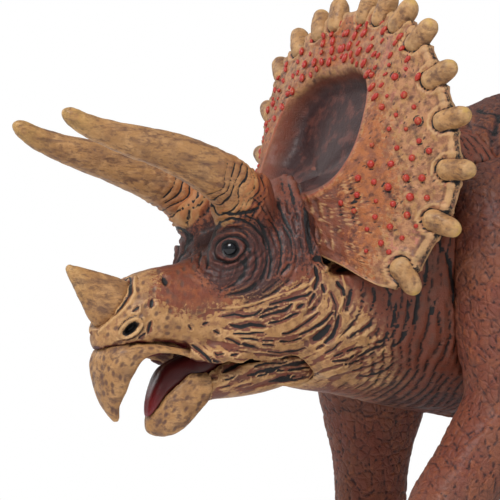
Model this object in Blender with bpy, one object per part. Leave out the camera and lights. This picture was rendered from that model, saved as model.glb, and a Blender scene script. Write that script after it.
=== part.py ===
"""Toy horned dinosaur figure, moulded in soft plastic pieces that plug together.

The animal faces -X, its left side is -Y and its soles stand on Z = 0. The lower jaw swings on
a pin across the head. Every other piece is plugged and glued.
"""

import math

import bmesh
import bpy
import numpy as np
from mathutils import Matrix, Vector

# Clearances and mesh steps
MOULD_GAP = 0.0003
JAW_GAP = 0.0005
PIN_GAP = 0.00025
COARSE_VOXEL = 0.0016
FINE_VOXEL = 0.0009
WELD = 0.000005
OVERRUN = 0.003
TROUGH_GAP = 0.00045

# Triangles of the smoothed skins
TRUNK_FACES = 1000
HEAD_FACES = 1600
LEG_FACES = 440
JAW_FACES = 900
SWING_FACE_SHARE = 0.02

# Trunk
BODY_LENGTH = 0.097
BODY_WIDTH = 0.070
BACK_HEIGHT = 0.124
TAIL_LENGTH = 0.060
TAIL_ROOT_WIDTH = 0.036

# Head and neck, from the shoulder joint to the front of the snout
HEAD_LENGTH = 0.090
HEAD_WIDTH = 0.032
HEAD_HEIGHT = 0.060
THROAT_HEIGHT = 0.036
HORN_REACH = 0.103
HORN_BASE_WIDTH = 0.0112
HORN_SPREAD = 0.022
NOSE_HORN_LENGTH = 0.0127
NOSE_HORN_BASE = 0.0122
NOSE_HORN_THICKNESS = 0.0074
EYE_RADIUS = 0.0034
FRILL_RADIUS = 0.035
FRILL_ROOT_THICKNESS = 0.0085
FRILL_EDGE_THICKNESS = 0.0036
SPIKE_LENGTH = 0.0104
SPIKE_WIDTH = 0.0050

# Mouth
JAW_WIDTH = 0.0200
BEAK_WIDTH = 0.0186
LOWER_BEAK_WIDTH = 0.0124
TONGUE_WIDTH = 0.0084
TONGUE_THICKNESS = 0.0044
PALATE_WIDTH = 0.0100
PALATE_THICKNESS = 0.0050
PIN_RADIUS = 0.0013
PIN_LENGTH = 0.031
HUB_RADIUS = 0.0048
HUB_WIDTH = 0.019

# Legs
FORELEG_SPREAD = 0.056
FORELEG_HEIGHT = 0.094
FORELEG_STRIDE = 0.024
FORELEG_WIDTH = 0.023
HINDLEG_SPREAD = 0.060
HINDLEG_HEIGHT = 0.096
HINDLEG_STRIDE = 0.022
HINDLEG_WIDTH = 0.024
TOE_RADIUS = 0.0046

# Plugs inside the joints
NECK_PLUG_RADIUS = 0.009
NECK_PLUG_LENGTH = 0.024
TAIL_PLUG_RADIUS = 0.0055
TAIL_PLUG_LENGTH = 0.018
PLUG_CHAMFER = 0.001

# The jaw's swing from its modelled place, in degrees
JAW_SHUT_DEG = 9.0
JAW_OPEN_DEG = 8.0
SWEEP_STEPS = 5

SHOULDER_X = (HORN_REACH - BODY_LENGTH - TAIL_LENGTH) / 2
TAIL_X = SHOULDER_X + BODY_LENGTH


def head_point(along, across, up):
    """A point of the head, from shares of its length, half its width and its height."""
    return Vector((
        SHOULDER_X - along * HEAD_LENGTH,
        across * HEAD_WIDTH / 2,
        THROAT_HEIGHT + up * HEAD_HEIGHT,
    ))


def body_point(along, across, up):
    """A point of the trunk, from shares of its length, half its width and the back's height."""
    return Vector((
        SHOULDER_X + along * BODY_LENGTH,
        across * BODY_WIDTH / 2,
        up * BACK_HEIGHT,
    ))


def smoothed(rows, steps):
    """The rows of a table with steps - 1 more between each two, on a smooth curve."""
    table = np.array(rows, float)
    padded = np.vstack([2 * table[0] - table[1], table, 2 * table[-1] - table[-2]])
    out = []
    for index in range(len(table) - 1):
        before, start, end, after = padded[index:index + 4]
        for step in range(steps):
            t = step / steps
            out.append(0.5 * (
                2 * start
                + (end - before) * t
                + (2 * before - 5 * start + 4 * end - after) * t ** 2
                + (3 * start - before - 3 * end + after) * t ** 3
            ))
    out.append(table[-1])
    return out


def ring_of(centre, side, rise, half_width, above, below, power, around):
    """The points of one section: a rounded outline, unlike above and below its centre."""
    points = []
    for index in range(around):
        angle = 2 * math.pi * index / around
        cosine, sine = math.cos(angle), math.sin(angle)
        wide = math.copysign(abs(cosine) ** (2 / power), cosine) * half_width
        high = math.copysign(abs(sine) ** (2 / power), sine)
        high *= above if sine > 0 else below
        points.append(centre + side * wide + rise * high)
    return points


def skin_rings(bm, rings, folded=False):
    """Faces between each two rings of points, with the first and last ring closed.

    A folded ring runs out along one side of a plate and back along the other, so its end is
    closed by faces that join the two sides.
    """
    rows = [[bm.verts.new(point) for point in ring] for ring in rings]
    count = len(rows[0])
    for lower, upper in zip(rows, rows[1:]):
        for index in range(count):
            after = (index + 1) % count
            bm.faces.new((lower[index], lower[after], upper[after], upper[index]))
    for ring in (rows[0], rows[-1]):
        if folded:
            for index in range(count // 2):
                corners = (ring[index], ring[index + 1], ring[-2 - index], ring[-1 - index])
                bm.faces.new(list(dict.fromkeys(corners)))
            continue
        middle = bm.verts.new(sum((v.co for v in ring), Vector()) / count)
        for index in range(count):
            bm.faces.new((ring[index], ring[(index + 1) % count], middle))
    bmesh.ops.recalc_face_normals(bm, faces=bm.faces[:])


def limb(bm, stations, around, power=2.0):
    """A body whose sections stand square to the way through the stations.

    Each station is x, y, z, half width, half height above and half height below.
    """
    centres = [Vector(station[:3]) for station in stations]
    whole = centres[-1] - centres[0]
    last_rise = Vector((0, 0, 1)) if abs(whole.z) < abs(whole.x) else Vector((1, 0, 0))
    rings = []
    for index, station in enumerate(stations):
        behind = centres[max(index - 1, 0)]
        ahead = centres[min(index + 1, len(centres) - 1)]
        way = (ahead - behind).normalized()
        side = Vector((0, 1, 0)) - way * way.y
        side.normalize()
        rise = way.cross(side).normalized()
        if rise.dot(last_rise) < 0:
            rise = -rise
        last_rise = rise
        rings.append(ring_of(
            centres[index], side, rise, station[3], station[4], station[5], power, around
        ))
    part = bmesh.new()
    skin_rings(part, rings)
    append(bm, part)


def upright_loft(bm, stations, around, power=2.0):
    """A body with sections in upright planes. A station is x, z, half width, above, below."""
    rings = [
        ring_of(
            Vector((x, 0, z)), Vector((0, 1, 0)), Vector((0, 0, 1)),
            half_width, above, below, power, around,
        )
        for x, z, half_width, above, below in stations
    ]
    part = bmesh.new()
    skin_rings(part, rings)
    append(bm, part)


def ball(bm, centre, radii, segments=12):
    """A ball with its own radius along each axis."""
    part = bmesh.new()
    bmesh.ops.create_uvsphere(part, u_segments=segments, v_segments=segments // 2 + 1, radius=1)
    bmesh.ops.scale(part, vec=Vector(radii), verts=part.verts[:])
    bmesh.ops.translate(part, vec=Vector(centre), verts=part.verts[:])
    append(bm, part)


def rod(bm, centre, axis, radius, length, segments=20, chamfer=0):
    """A round bar, its ends chamfered where a chamfer is given."""
    part = bmesh.new()
    bmesh.ops.create_cone(
        part, cap_ends=True, segments=segments, radius1=radius, radius2=radius, depth=length
    )
    if chamfer:
        ends = [e for e in part.edges if abs(e.verts[0].co.z - e.verts[1].co.z) < WELD]
        bmesh.ops.bevel(part, geom=ends, offset=chamfer, segments=1, affect="EDGES")
    turn = Vector((0, 0, 1)).rotation_difference(Vector(axis)).to_matrix().to_4x4()
    bmesh.ops.transform(part, matrix=Matrix.Translation(centre) @ turn, verts=part.verts[:])
    append(bm, part)


def append(bm, part):
    """Adds the geometry of one bmesh to another and frees it."""
    mesh = bpy.data.meshes.new("joined")
    part.to_mesh(mesh)
    part.free()
    bm.from_mesh(mesh)
    bpy.data.meshes.remove(mesh)


def mesh_of(bm, name):
    """A mesh with the geometry of the bmesh, which is freed."""
    mesh = bpy.data.meshes.new(name)
    bm.to_mesh(mesh)
    bm.free()
    return mesh


def evaluated(mesh, modifiers):
    """The mesh after modifiers, which are given as (type, settings) pairs."""
    helper = bpy.data.objects.new("helper", mesh)
    bpy.context.scene.collection.objects.link(helper)
    for kind, settings in modifiers:
        modifier = helper.modifiers.new(kind.title(), kind)
        for key, value in settings.items():
            setattr(modifier, key, value)
    graph = bpy.context.evaluated_depsgraph_get()
    graph.update()
    result = bpy.data.meshes.new_from_object(helper.evaluated_get(graph))
    bpy.data.objects.remove(helper)
    return result


def fused(bm, voxel, faces, rounds=4):
    """One smooth skin round overlapping bodies, with about so many triangles."""
    skin = evaluated(mesh_of(bm, "lumps"), [
        ("REMESH", {"mode": "VOXEL", "voxel_size": voxel}),
        ("SMOOTH", {"factor": 0.5, "iterations": rounds}),
    ])
    ratio = min(1, faces / (2 * len(skin.polygons)))
    return evaluated(skin, [("DECIMATE", {"decimate_type": "COLLAPSE", "ratio": ratio})])


def largest_body(mesh):
    """The mesh with its crumbs removed and its thin triangles merged away."""
    bm = bmesh.new()
    bm.from_mesh(mesh)
    bmesh.ops.remove_doubles(bm, verts=bm.verts[:], dist=WELD)
    bmesh.ops.dissolve_degenerate(bm, edges=bm.edges[:], dist=WELD)
    bm.verts.ensure_lookup_table()
    unseen = set(bm.verts)
    bodies = []
    while unseen:
        stack = [unseen.pop()]
        body = set(stack)
        while stack:
            for edge in stack.pop().link_edges:
                for vert in edge.verts:
                    if vert not in body:
                        body.add(vert)
                        stack.append(vert)
        unseen -= body
        bodies.append(body)
    keep = max(bodies, key=len)
    bmesh.ops.delete(bm, geom=[v for v in bm.verts if v not in keep], context="VERTS")
    bmesh.ops.triangulate(bm, faces=bm.faces[:])
    bm.to_mesh(mesh)
    bm.free()
    return mesh


def combined(mesh, other, operation):
    """The mesh after an exact Boolean with another."""
    helper = bpy.data.objects.new("cutter", other)
    bpy.context.scene.collection.objects.link(helper)
    helper.hide_render = True
    helper.display_type = "WIRE"
    result = evaluated(mesh, [
        ("BOOLEAN", {"operation": operation, "object": helper, "solver": "EXACT"}),
    ])
    bpy.data.objects.remove(helper)
    return largest_body(result)


def grown(mesh, clearance):
    """A copy of the mesh with its skin moved out by the clearance."""
    bm = bmesh.new()
    bm.from_mesh(mesh)
    bm.normal_update()
    moves = [v.normal * clearance * min(v.calc_shell_factor(), 2) for v in bm.verts]
    for vert, move in zip(bm.verts, moves):
        vert.co += move
    return mesh_of(bm, "cutter")


def carved(mesh, neighbours, clearance=MOULD_GAP):
    """The mesh with room cut for each of its neighbours."""
    for neighbour in neighbours:
        mesh = combined(mesh, grown(neighbour, clearance), "DIFFERENCE")
    return mesh


def cut_flat(mesh, point, normal):
    """The mesh with everything on the normal's side of a plane cut off, and closed flat."""
    bm = bmesh.new()
    bm.from_mesh(mesh)
    found = bmesh.ops.bisect_plane(
        bm, geom=bm.verts[:] + bm.edges[:] + bm.faces[:], dist=WELD,
        plane_co=point, plane_no=normal, clear_outer=True,
    )
    rim = [item for item in found["geom_cut"] if isinstance(item, bmesh.types.BMEdge)]
    bmesh.ops.holes_fill(bm, edges=rim, sides=0)
    bmesh.ops.triangulate(bm, faces=bm.faces[:])
    bmesh.ops.recalc_face_normals(bm, faces=bm.faces[:])
    return mesh_of(bm, "flat")


def material(name, colour, roughness, metallic=0.0):
    """A plain Principled material."""
    made = bpy.data.materials.new(name)
    made.use_nodes = True
    shader = made.node_tree.nodes["Principled BSDF"]
    shader.inputs["Base Color"].default_value = (*colour, 1)
    shader.inputs["Roughness"].default_value = roughness
    shader.inputs["Metallic"].default_value = metallic
    return made


def middle_of(mesh):
    """The middle of the box round a mesh."""
    corners = np.array([vert.co for vert in mesh.vertices])
    return Vector((corners.min(axis=0) + corners.max(axis=0)) / 2)


def piece(name, mesh, look, origin=None, parent=None):
    """A named object whose mesh is given in world space, with its origin at a point or its middle."""
    origin = origin or middle_of(mesh)
    mesh = mesh.copy()
    mesh.name = name
    mesh.transform(Matrix.Translation(-origin))
    mesh.materials.clear()
    mesh.materials.append(material(name, *look))
    mesh.shade_smooth()
    mesh.set_sharp_from_angle(angle=math.radians(40))
    obj = bpy.data.objects.new(name, mesh)
    bpy.context.scene.collection.objects.link(obj)
    if parent:
        obj.parent = parent
        obj.location = origin - parent.location
    else:
        obj.location = origin
    return obj


# Trunk, neck and tail

TRUNK_SHARES = [
    # along, widest height, half width, top, bottom
    (-0.10, 0.60, 0.76, 0.84, 0.340),
    (0.00, 0.60, 0.82, 0.865, 0.335),
    (0.15, 0.59, 0.90, 0.925, 0.315),
    (0.35, 0.57, 0.98, 0.975, 0.300),
    (0.55, 0.57, 1.00, 1.000, 0.295),
    (0.75, 0.60, 0.92, 0.965, 0.325),
    (0.90, 0.67, 0.70, 0.895, 0.420),
    (1.00, 0.70, 0.52, 0.835, 0.535),
    (1.10, 0.68, 0.42, 0.790, 0.570),
]

HEAD_SHARES = [
    # along, widest height, half width, top, bottom
    (0.998, 0.340, 0.10, 0.370, 0.300),
    (0.982, 0.350, 0.27, 0.405, 0.280),
    (0.945, 0.370, 0.46, 0.490, 0.275),
    (0.890, 0.400, 0.55, 0.565, 0.280),
    (0.810, 0.430, 0.60, 0.595, 0.265),
    (0.735, 0.470, 0.68, 0.625, 0.225),
    (0.645, 0.490, 0.80, 0.735, 0.240),
    (0.555, 0.520, 0.94, 0.880, 0.245),
    (0.480, 0.545, 1.08, 0.950, 0.198),
    (0.400, 0.570, 1.24, 1.000, 0.168),
    (0.310, 0.585, 1.42, 1.040, 0.158),
    (0.165, 0.600, 1.64, 1.115, 0.120),
    (0.000, 0.620, 1.79, 1.185, 0.085),
    (-0.10, 0.630, 1.83, 1.215, 0.080),
]

ORBIT_SHARES = [
    # along, across, up, radius as a share of half the head's width
    (0.620, 0.38, 0.47, 0.36),
    (0.636, 0.40, 0.56, 0.40),
    (0.643, 0.39, 0.64, 0.41),
    (0.628, 0.40, 0.725, 0.36),
    (0.645, 0.50, 0.805, 0.39),
    (0.675, 0.60, 0.865, 0.41),
]

ORBIT_OVAL_SHARE = 1.15

CHEEK_SHARES = [
    # along, across, up, then the swelling's radii as shares of half the head's width
    (0.610, 0.54, 0.365, 0.78, 0.33, 0.42),
    (0.420, 0.70, 0.360, 0.46, 0.36, 0.60),
]

NECK_JOINT_SHARE = 0.60
TAIL_JOINT_SHARE = 0.685


def trunk_stations():
    """Upright sections of the trunk, from the shoulder joint to the tail joint."""
    stations = []
    for along, widest, half_width, top, bottom in smoothed(TRUNK_SHARES, 3):
        spot = body_point(along, half_width, widest)
        above = top * BACK_HEIGHT - spot.z
        below = spot.z - bottom * BACK_HEIGHT
        stations.append((spot.x, spot.z, spot.y, above, below))
    return stations


def trunk_mesh():
    """The solid trunk, cut square at the shoulder joint and at the tail joint."""
    bm = bmesh.new()
    upright_loft(bm, trunk_stations(), around=28, power=2.15)
    mesh = fused(bm, COARSE_VOXEL, TRUNK_FACES)
    front = Vector((SHOULDER_X + MOULD_GAP / 2, 0, 0))
    back = Vector((TAIL_X - MOULD_GAP / 2, 0, 0))
    mesh = cut_flat(mesh, front, Vector((-1, 0, 0)))
    return cut_flat(mesh, back, Vector((1, 0, 0)))


def head_mesh():
    """Snout, cheeks, brow bosses and neck as one skin, cut square at the shoulder joint."""
    bm = bmesh.new()
    stations = []
    for along, widest, half_width, top, bottom in smoothed(HEAD_SHARES, 3):
        spot = head_point(along, half_width, widest)
        above = THROAT_HEIGHT + top * HEAD_HEIGHT - spot.z
        below = spot.z - THROAT_HEIGHT - bottom * HEAD_HEIGHT
        stations.append((spot.x, spot.z, spot.y, above, below))
    upright_loft(bm, stations, around=28, power=2.2)
    for side in (-1, 1):
        column = []
        for along, across, up, radius in smoothed(ORBIT_SHARES, 3):
            spot = head_point(along, side * across, up)
            radius *= HEAD_WIDTH / 2
            tall = radius * ORBIT_OVAL_SHARE
            column.append((*spot, radius, tall, tall))
        limb(bm, column, around=16)
        for along, across, up, *radii in CHEEK_SHARES:
            spot = head_point(along, side * across, up)
            ball(bm, spot, [radius * HEAD_WIDTH / 2 for radius in radii])
    mesh = fused(bm, FINE_VOXEL, HEAD_FACES)
    joint = Vector((SHOULDER_X - MOULD_GAP / 2, 0, 0))
    return cut_flat(mesh, joint, Vector((1, 0, 0)))


TAIL_SHARES = [
    # along the tail, height, half width and half height as shares of the root's width
    (-0.12, 0.705, 0.50, 0.52),
    (0.00, 0.685, 0.47, 0.50),
    (0.25, 0.625, 0.385, 0.41),
    (0.50, 0.540, 0.285, 0.30),
    (0.72, 0.450, 0.195, 0.20),
    (0.90, 0.370, 0.110, 0.115),
    (0.975, 0.335, 0.065, 0.065),
    (1.00, 0.322, 0.020, 0.020),
]


def tail_mesh():
    """The tail, which droops from the tail joint to its blunt tip."""
    bm = bmesh.new()
    stations = []
    for along, height, half_width, half_height in smoothed(TAIL_SHARES, 2):
        stations.append((
            TAIL_X + along * TAIL_LENGTH, 0, height * BACK_HEIGHT,
            half_width * TAIL_ROOT_WIDTH, half_height * TAIL_ROOT_WIDTH,
            half_height * TAIL_ROOT_WIDTH,
        ))
    limb(bm, stations, around=16)
    joint = Vector((TAIL_X + MOULD_GAP / 2, 0, 0))
    return cut_flat(mesh_of(bm, "tail"), joint, Vector((-1, 0, 0)))


# Legs

FORELEG_SHARES = [
    # height, step forward, spread, half width across, half width along
    (1.00, 0.10, 0.62, 0.30, 0.42),
    (0.93, 0.06, 0.78, 0.48, 0.66),
    (0.80, 0.02, 0.90, 0.56, 0.76),
    (0.64, 0.04, 1.00, 0.58, 0.74),
    (0.52, 0.12, 1.05, 0.52, 0.62),
    (0.43, 0.27, 1.06, 0.44, 0.49),
    (0.33, 0.64, 1.04, 0.36, 0.375),
    (0.24, 0.93, 1.02, 0.335, 0.34),
    (0.14, 1.18, 1.00, 0.34, 0.345),
    (0.06, 1.26, 1.00, 0.42, 0.43),
    (-0.03, 1.28, 1.00, 0.46, 0.47),
]

HINDLEG_SHARES = [
    # height, step forward, spread, half width across, half width along
    (0.98, 0.00, 0.50, 0.32, 0.50),
    (0.90, 0.00, 0.68, 0.52, 0.78),
    (0.75, -0.15, 0.84, 0.60, 0.92),
    (0.58, -0.45, 0.96, 0.58, 0.84),
    (0.44, -0.45, 1.02, 0.50, 0.64),
    (0.32, 0.10, 1.02, 0.43, 0.48),
    (0.20, 0.65, 1.00, 0.40, 0.44),
    (0.09, 0.80, 1.00, 0.47, 0.52),
    (-0.03, 0.72, 1.00, 0.53, 0.56),
]

TOE_ANGLES = (-35.5, 0.0, 35.5)
TOE_REACH_SHARE = 0.47
TOE_WIDTH_SHARE = 0.8
TOE_HEIGHT_SHARE = 0.5

SHOULDER_SHARE = 0.03
HIP_SHARE = 0.74
LEG_PIVOT_SHARE = 0.7
RIGHT_FORELEG_STEP_SHARE = 1 / 12
RIGHT_HINDLEG_STEP_SHARE = 1 / 3


def leg_mesh(shares, hip_x, height, stride, spread, width, side):
    """One leg with its toes, from the pocket in the trunk to a flat sole."""
    bm = bmesh.new()
    stations = []
    for up, forward, out, across, along in smoothed(shares, 3):
        stations.append((
            hip_x + forward * stride, side * out * spread / 2, up * height,
            across * width, along * width, along * width,
        ))
    limb(bm, stations, around=20)
    foot_x, foot_y = stations[-1][:2]
    reach = TOE_REACH_SHARE * width
    for degrees in TOE_ANGLES:
        turn = math.radians(degrees)
        spot = Vector((
            foot_x - reach * math.cos(turn),
            foot_y + reach * math.sin(turn),
            TOE_HEIGHT_SHARE * TOE_RADIUS,
        ))
        ball(bm, spot, (TOE_RADIUS, TOE_WIDTH_SHARE * TOE_RADIUS, TOE_RADIUS), segments=10)
    mesh = fused(bm, FINE_VOXEL, LEG_FACES)
    return cut_flat(mesh, Vector((0, 0, 0)), Vector((0, 0, -1)))


def legs():
    """Each leg's name, mesh and origin."""
    shoulder_x = body_point(SHOULDER_SHARE, 0, 0).x
    hip_x = body_point(HIP_SHARE, 0, 0).x
    fore = (FORELEG_SHARES, shoulder_x, FORELEG_HEIGHT, FORELEG_SPREAD, FORELEG_WIDTH)
    hind = (HINDLEG_SHARES, hip_x, HINDLEG_HEIGHT, HINDLEG_SPREAD, HINDLEG_WIDTH)
    plans = (
        ("foreleg_left", -1, -FORELEG_STRIDE, fore),
        ("foreleg_right", 1, -FORELEG_STRIDE * RIGHT_FORELEG_STEP_SHARE, fore),
        ("hindleg_left", -1, HINDLEG_STRIDE, hind),
        ("hindleg_right", 1, HINDLEG_STRIDE * RIGHT_HINDLEG_STEP_SHARE, hind),
    )
    made = {}
    for name, side, stride, (shares, hip, height, spread, width) in plans:
        mesh = leg_mesh(shares, hip, height, stride, spread, width, side)
        made[name] = (mesh, Vector((hip, side * spread / 2, LEG_PIVOT_SHARE * height)))
    return made


# Frill

FRILL_CENTRE_SHARES = (0.278, 0, 0.958)

FRILL_SHARES = [
    # angle, rim radius, rim x, crest x y z, floor x y z, root x y z
    (0, 1.030, 0.010, -0.10, 0.00, 0.585, -0.37, 0.00, 0.16, -0.60, 0.00, -0.18),
    (20, 1.040, -0.005, -0.13, 0.26, 0.640, -0.36, 0.19, 0.17, -0.60, 0.14, -0.19),
    (40, 1.065, -0.040, -0.21, 0.47, 0.460, -0.34, 0.34, 0.17, -0.59, 0.26, -0.22),
    (60, 1.025, -0.030, -0.29, 0.54, 0.220, -0.41, 0.42, 0.08, -0.57, 0.33, -0.26),
    (80, 1.015, -0.015, -0.32, 0.61, 0.040, -0.47, 0.48, -0.10, -0.57, 0.38, -0.34),
    (100, 1.030, -0.025, -0.32, 0.67, -0.200, -0.49, 0.52, -0.30, -0.57, 0.41, -0.45),
    (118, 1.030, -0.130, -0.34, 0.69, -0.440, -0.49, 0.55, -0.50, -0.54, 0.42, -0.57),
    (134, 1.045, -0.270, -0.37, 0.63, -0.660, -0.46, 0.53, -0.68, -0.50, 0.41, -0.69),
]

SPIKE_ANGLES = (8.8, 19.0, 31.0, 44.0, 60.0, 76.0, 93.0, 110.5, 128.5)
SPIKE_SPREAD_SHARES = (1, 1, 1, 1, 1, 0.95, 0.9, 0.75, 0.25)
SPIKE_FLARE_SHARE = 0.6
SPIKE_STAND_SHARE = 0.2


def frill_rows():
    """For each angle round the frill, the points of its front from the root to the rim."""
    centre = head_point(*FRILL_CENTRE_SHARES)
    half = []
    for row in smoothed(FRILL_SHARES, 2):
        angle = math.radians(row[0])
        rim = (row[2], row[1] * math.sin(angle), row[1] * math.cos(angle))
        way = smoothed([row[9:12], row[6:9], row[3:6], rim], 2)
        half.append([centre + FRILL_RADIUS * Vector(point) for point in way])
    other = [[Vector((p.x, -p.y, p.z)) for p in line] for line in half[:0:-1]]
    return other + half


def frill_mesh():
    """The frill: a dished plate with a rounded rim and a ring of blunt bony knobs."""
    front = frill_rows()
    last = len(front[0]) - 1
    back = []
    for index, line in enumerate(front):
        before = front[max(index - 1, 0)]
        after = front[min(index + 1, len(front) - 1)]
        behind = []
        for step, point in enumerate(line):
            inward = line[max(step - 1, 0)]
            outward = line[min(step + 1, last)]
            normal = (outward - inward).cross(after[step] - before[step]).normalized()
            if normal.x < 0:
                normal = -normal
            share = step / last
            thick = FRILL_ROOT_THICKNESS * (1 - share) + FRILL_EDGE_THICKNESS * share
            behind.append(point + normal * thick)
        back.append(behind)
    rings = []
    for line, behind in zip(front, back):
        swell = (line[-1] - line[-2]).normalized() * FRILL_EDGE_THICKNESS / 2
        rings.append([*line, (line[-1] + behind[-1]) / 2 + swell, *reversed(behind)])
    bm = bmesh.new()
    skin_rings(bm, rings, folded=True)
    mesh = mesh_of(bm, "frill")
    for angle, spread in zip(SPIKE_ANGLES, SPIKE_SPREAD_SHARES):
        for side in (-1, 1):
            mesh = combined(mesh, spike_mesh(angle, spread, side), "UNION")
    return mesh


def spike_mesh(angle, spread, side):
    """One blunt knob on the frill's rim, leaning out along the plate."""
    rows = np.array(smoothed(FRILL_SHARES, 8))
    at = [np.interp(angle, rows[:, 0], rows[:, column]) for column in range(rows.shape[1])]
    turn = math.radians(angle)
    rim = Vector((at[2], side * at[1] * math.sin(turn), at[1] * math.cos(turn)))
    crest = Vector((at[3], side * at[4], at[5]))
    out = (rim - crest).normalized() + rim.normalized() * SPIKE_FLARE_SHARE
    out.y *= spread
    out.normalize()
    foot = head_point(*FRILL_CENTRE_SHARES) + FRILL_RADIUS * rim
    foot.x += FRILL_EDGE_THICKNESS / 4
    bm = bmesh.new()
    bmesh.ops.create_uvsphere(bm, u_segments=6, v_segments=5, radius=1)
    size = Vector((SPIKE_WIDTH / 2, SPIKE_WIDTH / 2, SPIKE_LENGTH / 2))
    bmesh.ops.scale(bm, vec=size, verts=bm.verts[:])
    lean = Vector((0, 0, 1)).rotation_difference(out).to_matrix().to_4x4()
    place = Matrix.Translation(foot + out * SPIKE_LENGTH * SPIKE_STAND_SHARE) @ lean
    bmesh.ops.transform(bm, matrix=place, verts=bm.verts[:])
    return mesh_of(bm, "spike")


# Horns, eyes and beaks

EYE_SHARES = (0.682, 0.58, 0.645)

BROW_HORN_SHARES = [
    # along, spread, up, radius as a share of the base's width
    (0.640, 0.78, 0.790, 0.38),
    (0.675, 0.88, 0.850, 0.48),
    (0.710, 0.94, 0.888, 0.485),
    (0.789, 1.02, 0.934, 0.415),
    (0.884, 1.06, 0.975, 0.350),
    (0.978, 1.05, 0.999, 0.275),
    (1.072, 1.01, 1.032, 0.200),
    (1.118, 0.99, 1.062, 0.150),
    (1.137, 0.985, 1.076, 0.095),
    (1.1444, 0.98, 1.082, 0.025),
]


def brow_horn_mesh(side):
    """A brow horn with its root, which plugs into the brow boss."""
    bm = bmesh.new()
    stations = []
    for along, spread, up, radius in smoothed(BROW_HORN_SHARES, 2):
        spot = head_point(along, 0, up)
        spot.y = side * spread * HORN_SPREAD / 2
        radius *= HORN_BASE_WIDTH
        stations.append((*spot, radius, radius, radius))
    limb(bm, stations, around=10)
    return mesh_of(bm, "brow_horn")


NOSE_HORN_BASE_SHARES = (0.952, 0, 0.455)
NOSE_HORN_WAY_SHARES = (-0.82, 0, 0.57)
NOSE_HORN_RISE_SHARES = (0.64, 0, 0.77)

NOSE_HORN_SHARES = [
    # along the horn, half base, half thickness
    (-0.30, 0.34, 0.34),
    (0.00, 0.50, 0.50),
    (0.35, 0.355, 0.40),
    (0.70, 0.185, 0.25),
    (0.92, 0.075, 0.12),
    (1.00, 0.025, 0.04),
]


def nose_horn_mesh():
    """The flat, three-cornered horn on the nose, with its root."""
    base = head_point(*NOSE_HORN_BASE_SHARES)
    way = Vector(NOSE_HORN_WAY_SHARES).normalized()
    rise = Vector(NOSE_HORN_RISE_SHARES).normalized()
    rings = []
    for along, half_base, half_thick in smoothed(NOSE_HORN_SHARES, 2):
        centre = base + way * NOSE_HORN_LENGTH * along
        half_base *= NOSE_HORN_BASE
        rings.append(ring_of(
            centre, Vector((0, 1, 0)), rise,
            half_thick * NOSE_HORN_THICKNESS, half_base, half_base, power=1.8, around=12,
        ))
    bm = bmesh.new()
    skin_rings(bm, rings)
    return mesh_of(bm, "nose_horn")


UPPER_BEAK_SHARES = [
    # up, front, back, half width
    (0.360, 0.940, 0.800, 0.38),
    (0.325, 0.962, 0.765, 0.60),
    (0.295, 0.985, 0.730, 0.94),
    (0.270, 0.988, 0.745, 0.96),
    (0.235, 0.988, 0.800, 0.86),
    (0.200, 0.986, 0.850, 0.69),
    (0.165, 0.984, 0.885, 0.53),
    (0.130, 0.976, 0.905, 0.39),
    (0.098, 0.965, 0.918, 0.27),
    (0.065, 0.951, 0.923, 0.15),
    (0.045, 0.937, 0.926, 0.05),
]


def upper_beak_mesh():
    """The hooked upper beak, still solid: the mouth is cut from it later."""
    rings = []
    for up, front, back, half_width in smoothed(UPPER_BEAK_SHARES, 2):
        centre = head_point((front + back) / 2, 0, up)
        half_length = (front - back) / 2 * HEAD_LENGTH
        rings.append(ring_of(
            centre, Vector((0, 1, 0)), Vector((1, 0, 0)),
            half_width * BEAK_WIDTH / 2, half_length, half_length, power=2.0, around=16,
        ))
    bm = bmesh.new()
    skin_rings(bm, rings)
    return mesh_of(bm, "upper_beak")


LOWER_BEAK_SHARES = [
    # along, half width, top, bottom
    (0.718, 0.98, 0.240, 0.108),
    (0.745, 1.00, 0.248, 0.060),
    (0.775, 0.95, 0.246, 0.015),
    (0.805, 0.80, 0.205, -0.003),
    (0.832, 0.56, 0.145, 0.000),
    (0.849, 0.30, 0.090, 0.010),
    (0.856, 0.10, 0.055, 0.025),
]

MANDIBLE_SHARES = [
    # along, widest height, half width, above, below
    (0.780, 0.150, 0.20, 0.030, 0.030),
    (0.755, 0.160, 0.38, 0.050, 0.055),
    (0.718, 0.182, 0.52, 0.055, 0.070),
    (0.690, 0.205, 0.76, 0.055, 0.076),
    (0.633, 0.235, 0.92, 0.055, 0.098),
    (0.555, 0.258, 0.98, 0.055, 0.104),
    (0.478, 0.290, 0.96, 0.055, 0.098),
    (0.433, 0.330, 0.84, 0.060, 0.080),
    (0.410, 0.360, 0.55, 0.045, 0.055),
]

TONGUE_SHARES = [
    # along, height, half width, half thickness
    (0.560, 0.295, 0.50, 0.30),
    (0.600, 0.285, 0.80, 0.44),
    (0.690, 0.250, 1.00, 0.50),
    (0.770, 0.212, 0.95, 0.54),
    (0.820, 0.170, 0.78, 0.56),
    (0.848, 0.135, 0.52, 0.46),
    (0.860, 0.118, 0.18, 0.20),
]

TROUGH_LIFT_SHARE = 0.125

HINGE_SHARES = (0.467, 0, 0.50)
STALK_FOOT_SHARES = (0.440, 0, 0.33)
STALK_DEPTH_SHARE = 0.9


def hinge_point():
    """The middle of the jaw's pin."""
    return head_point(*HINGE_SHARES)


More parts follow.
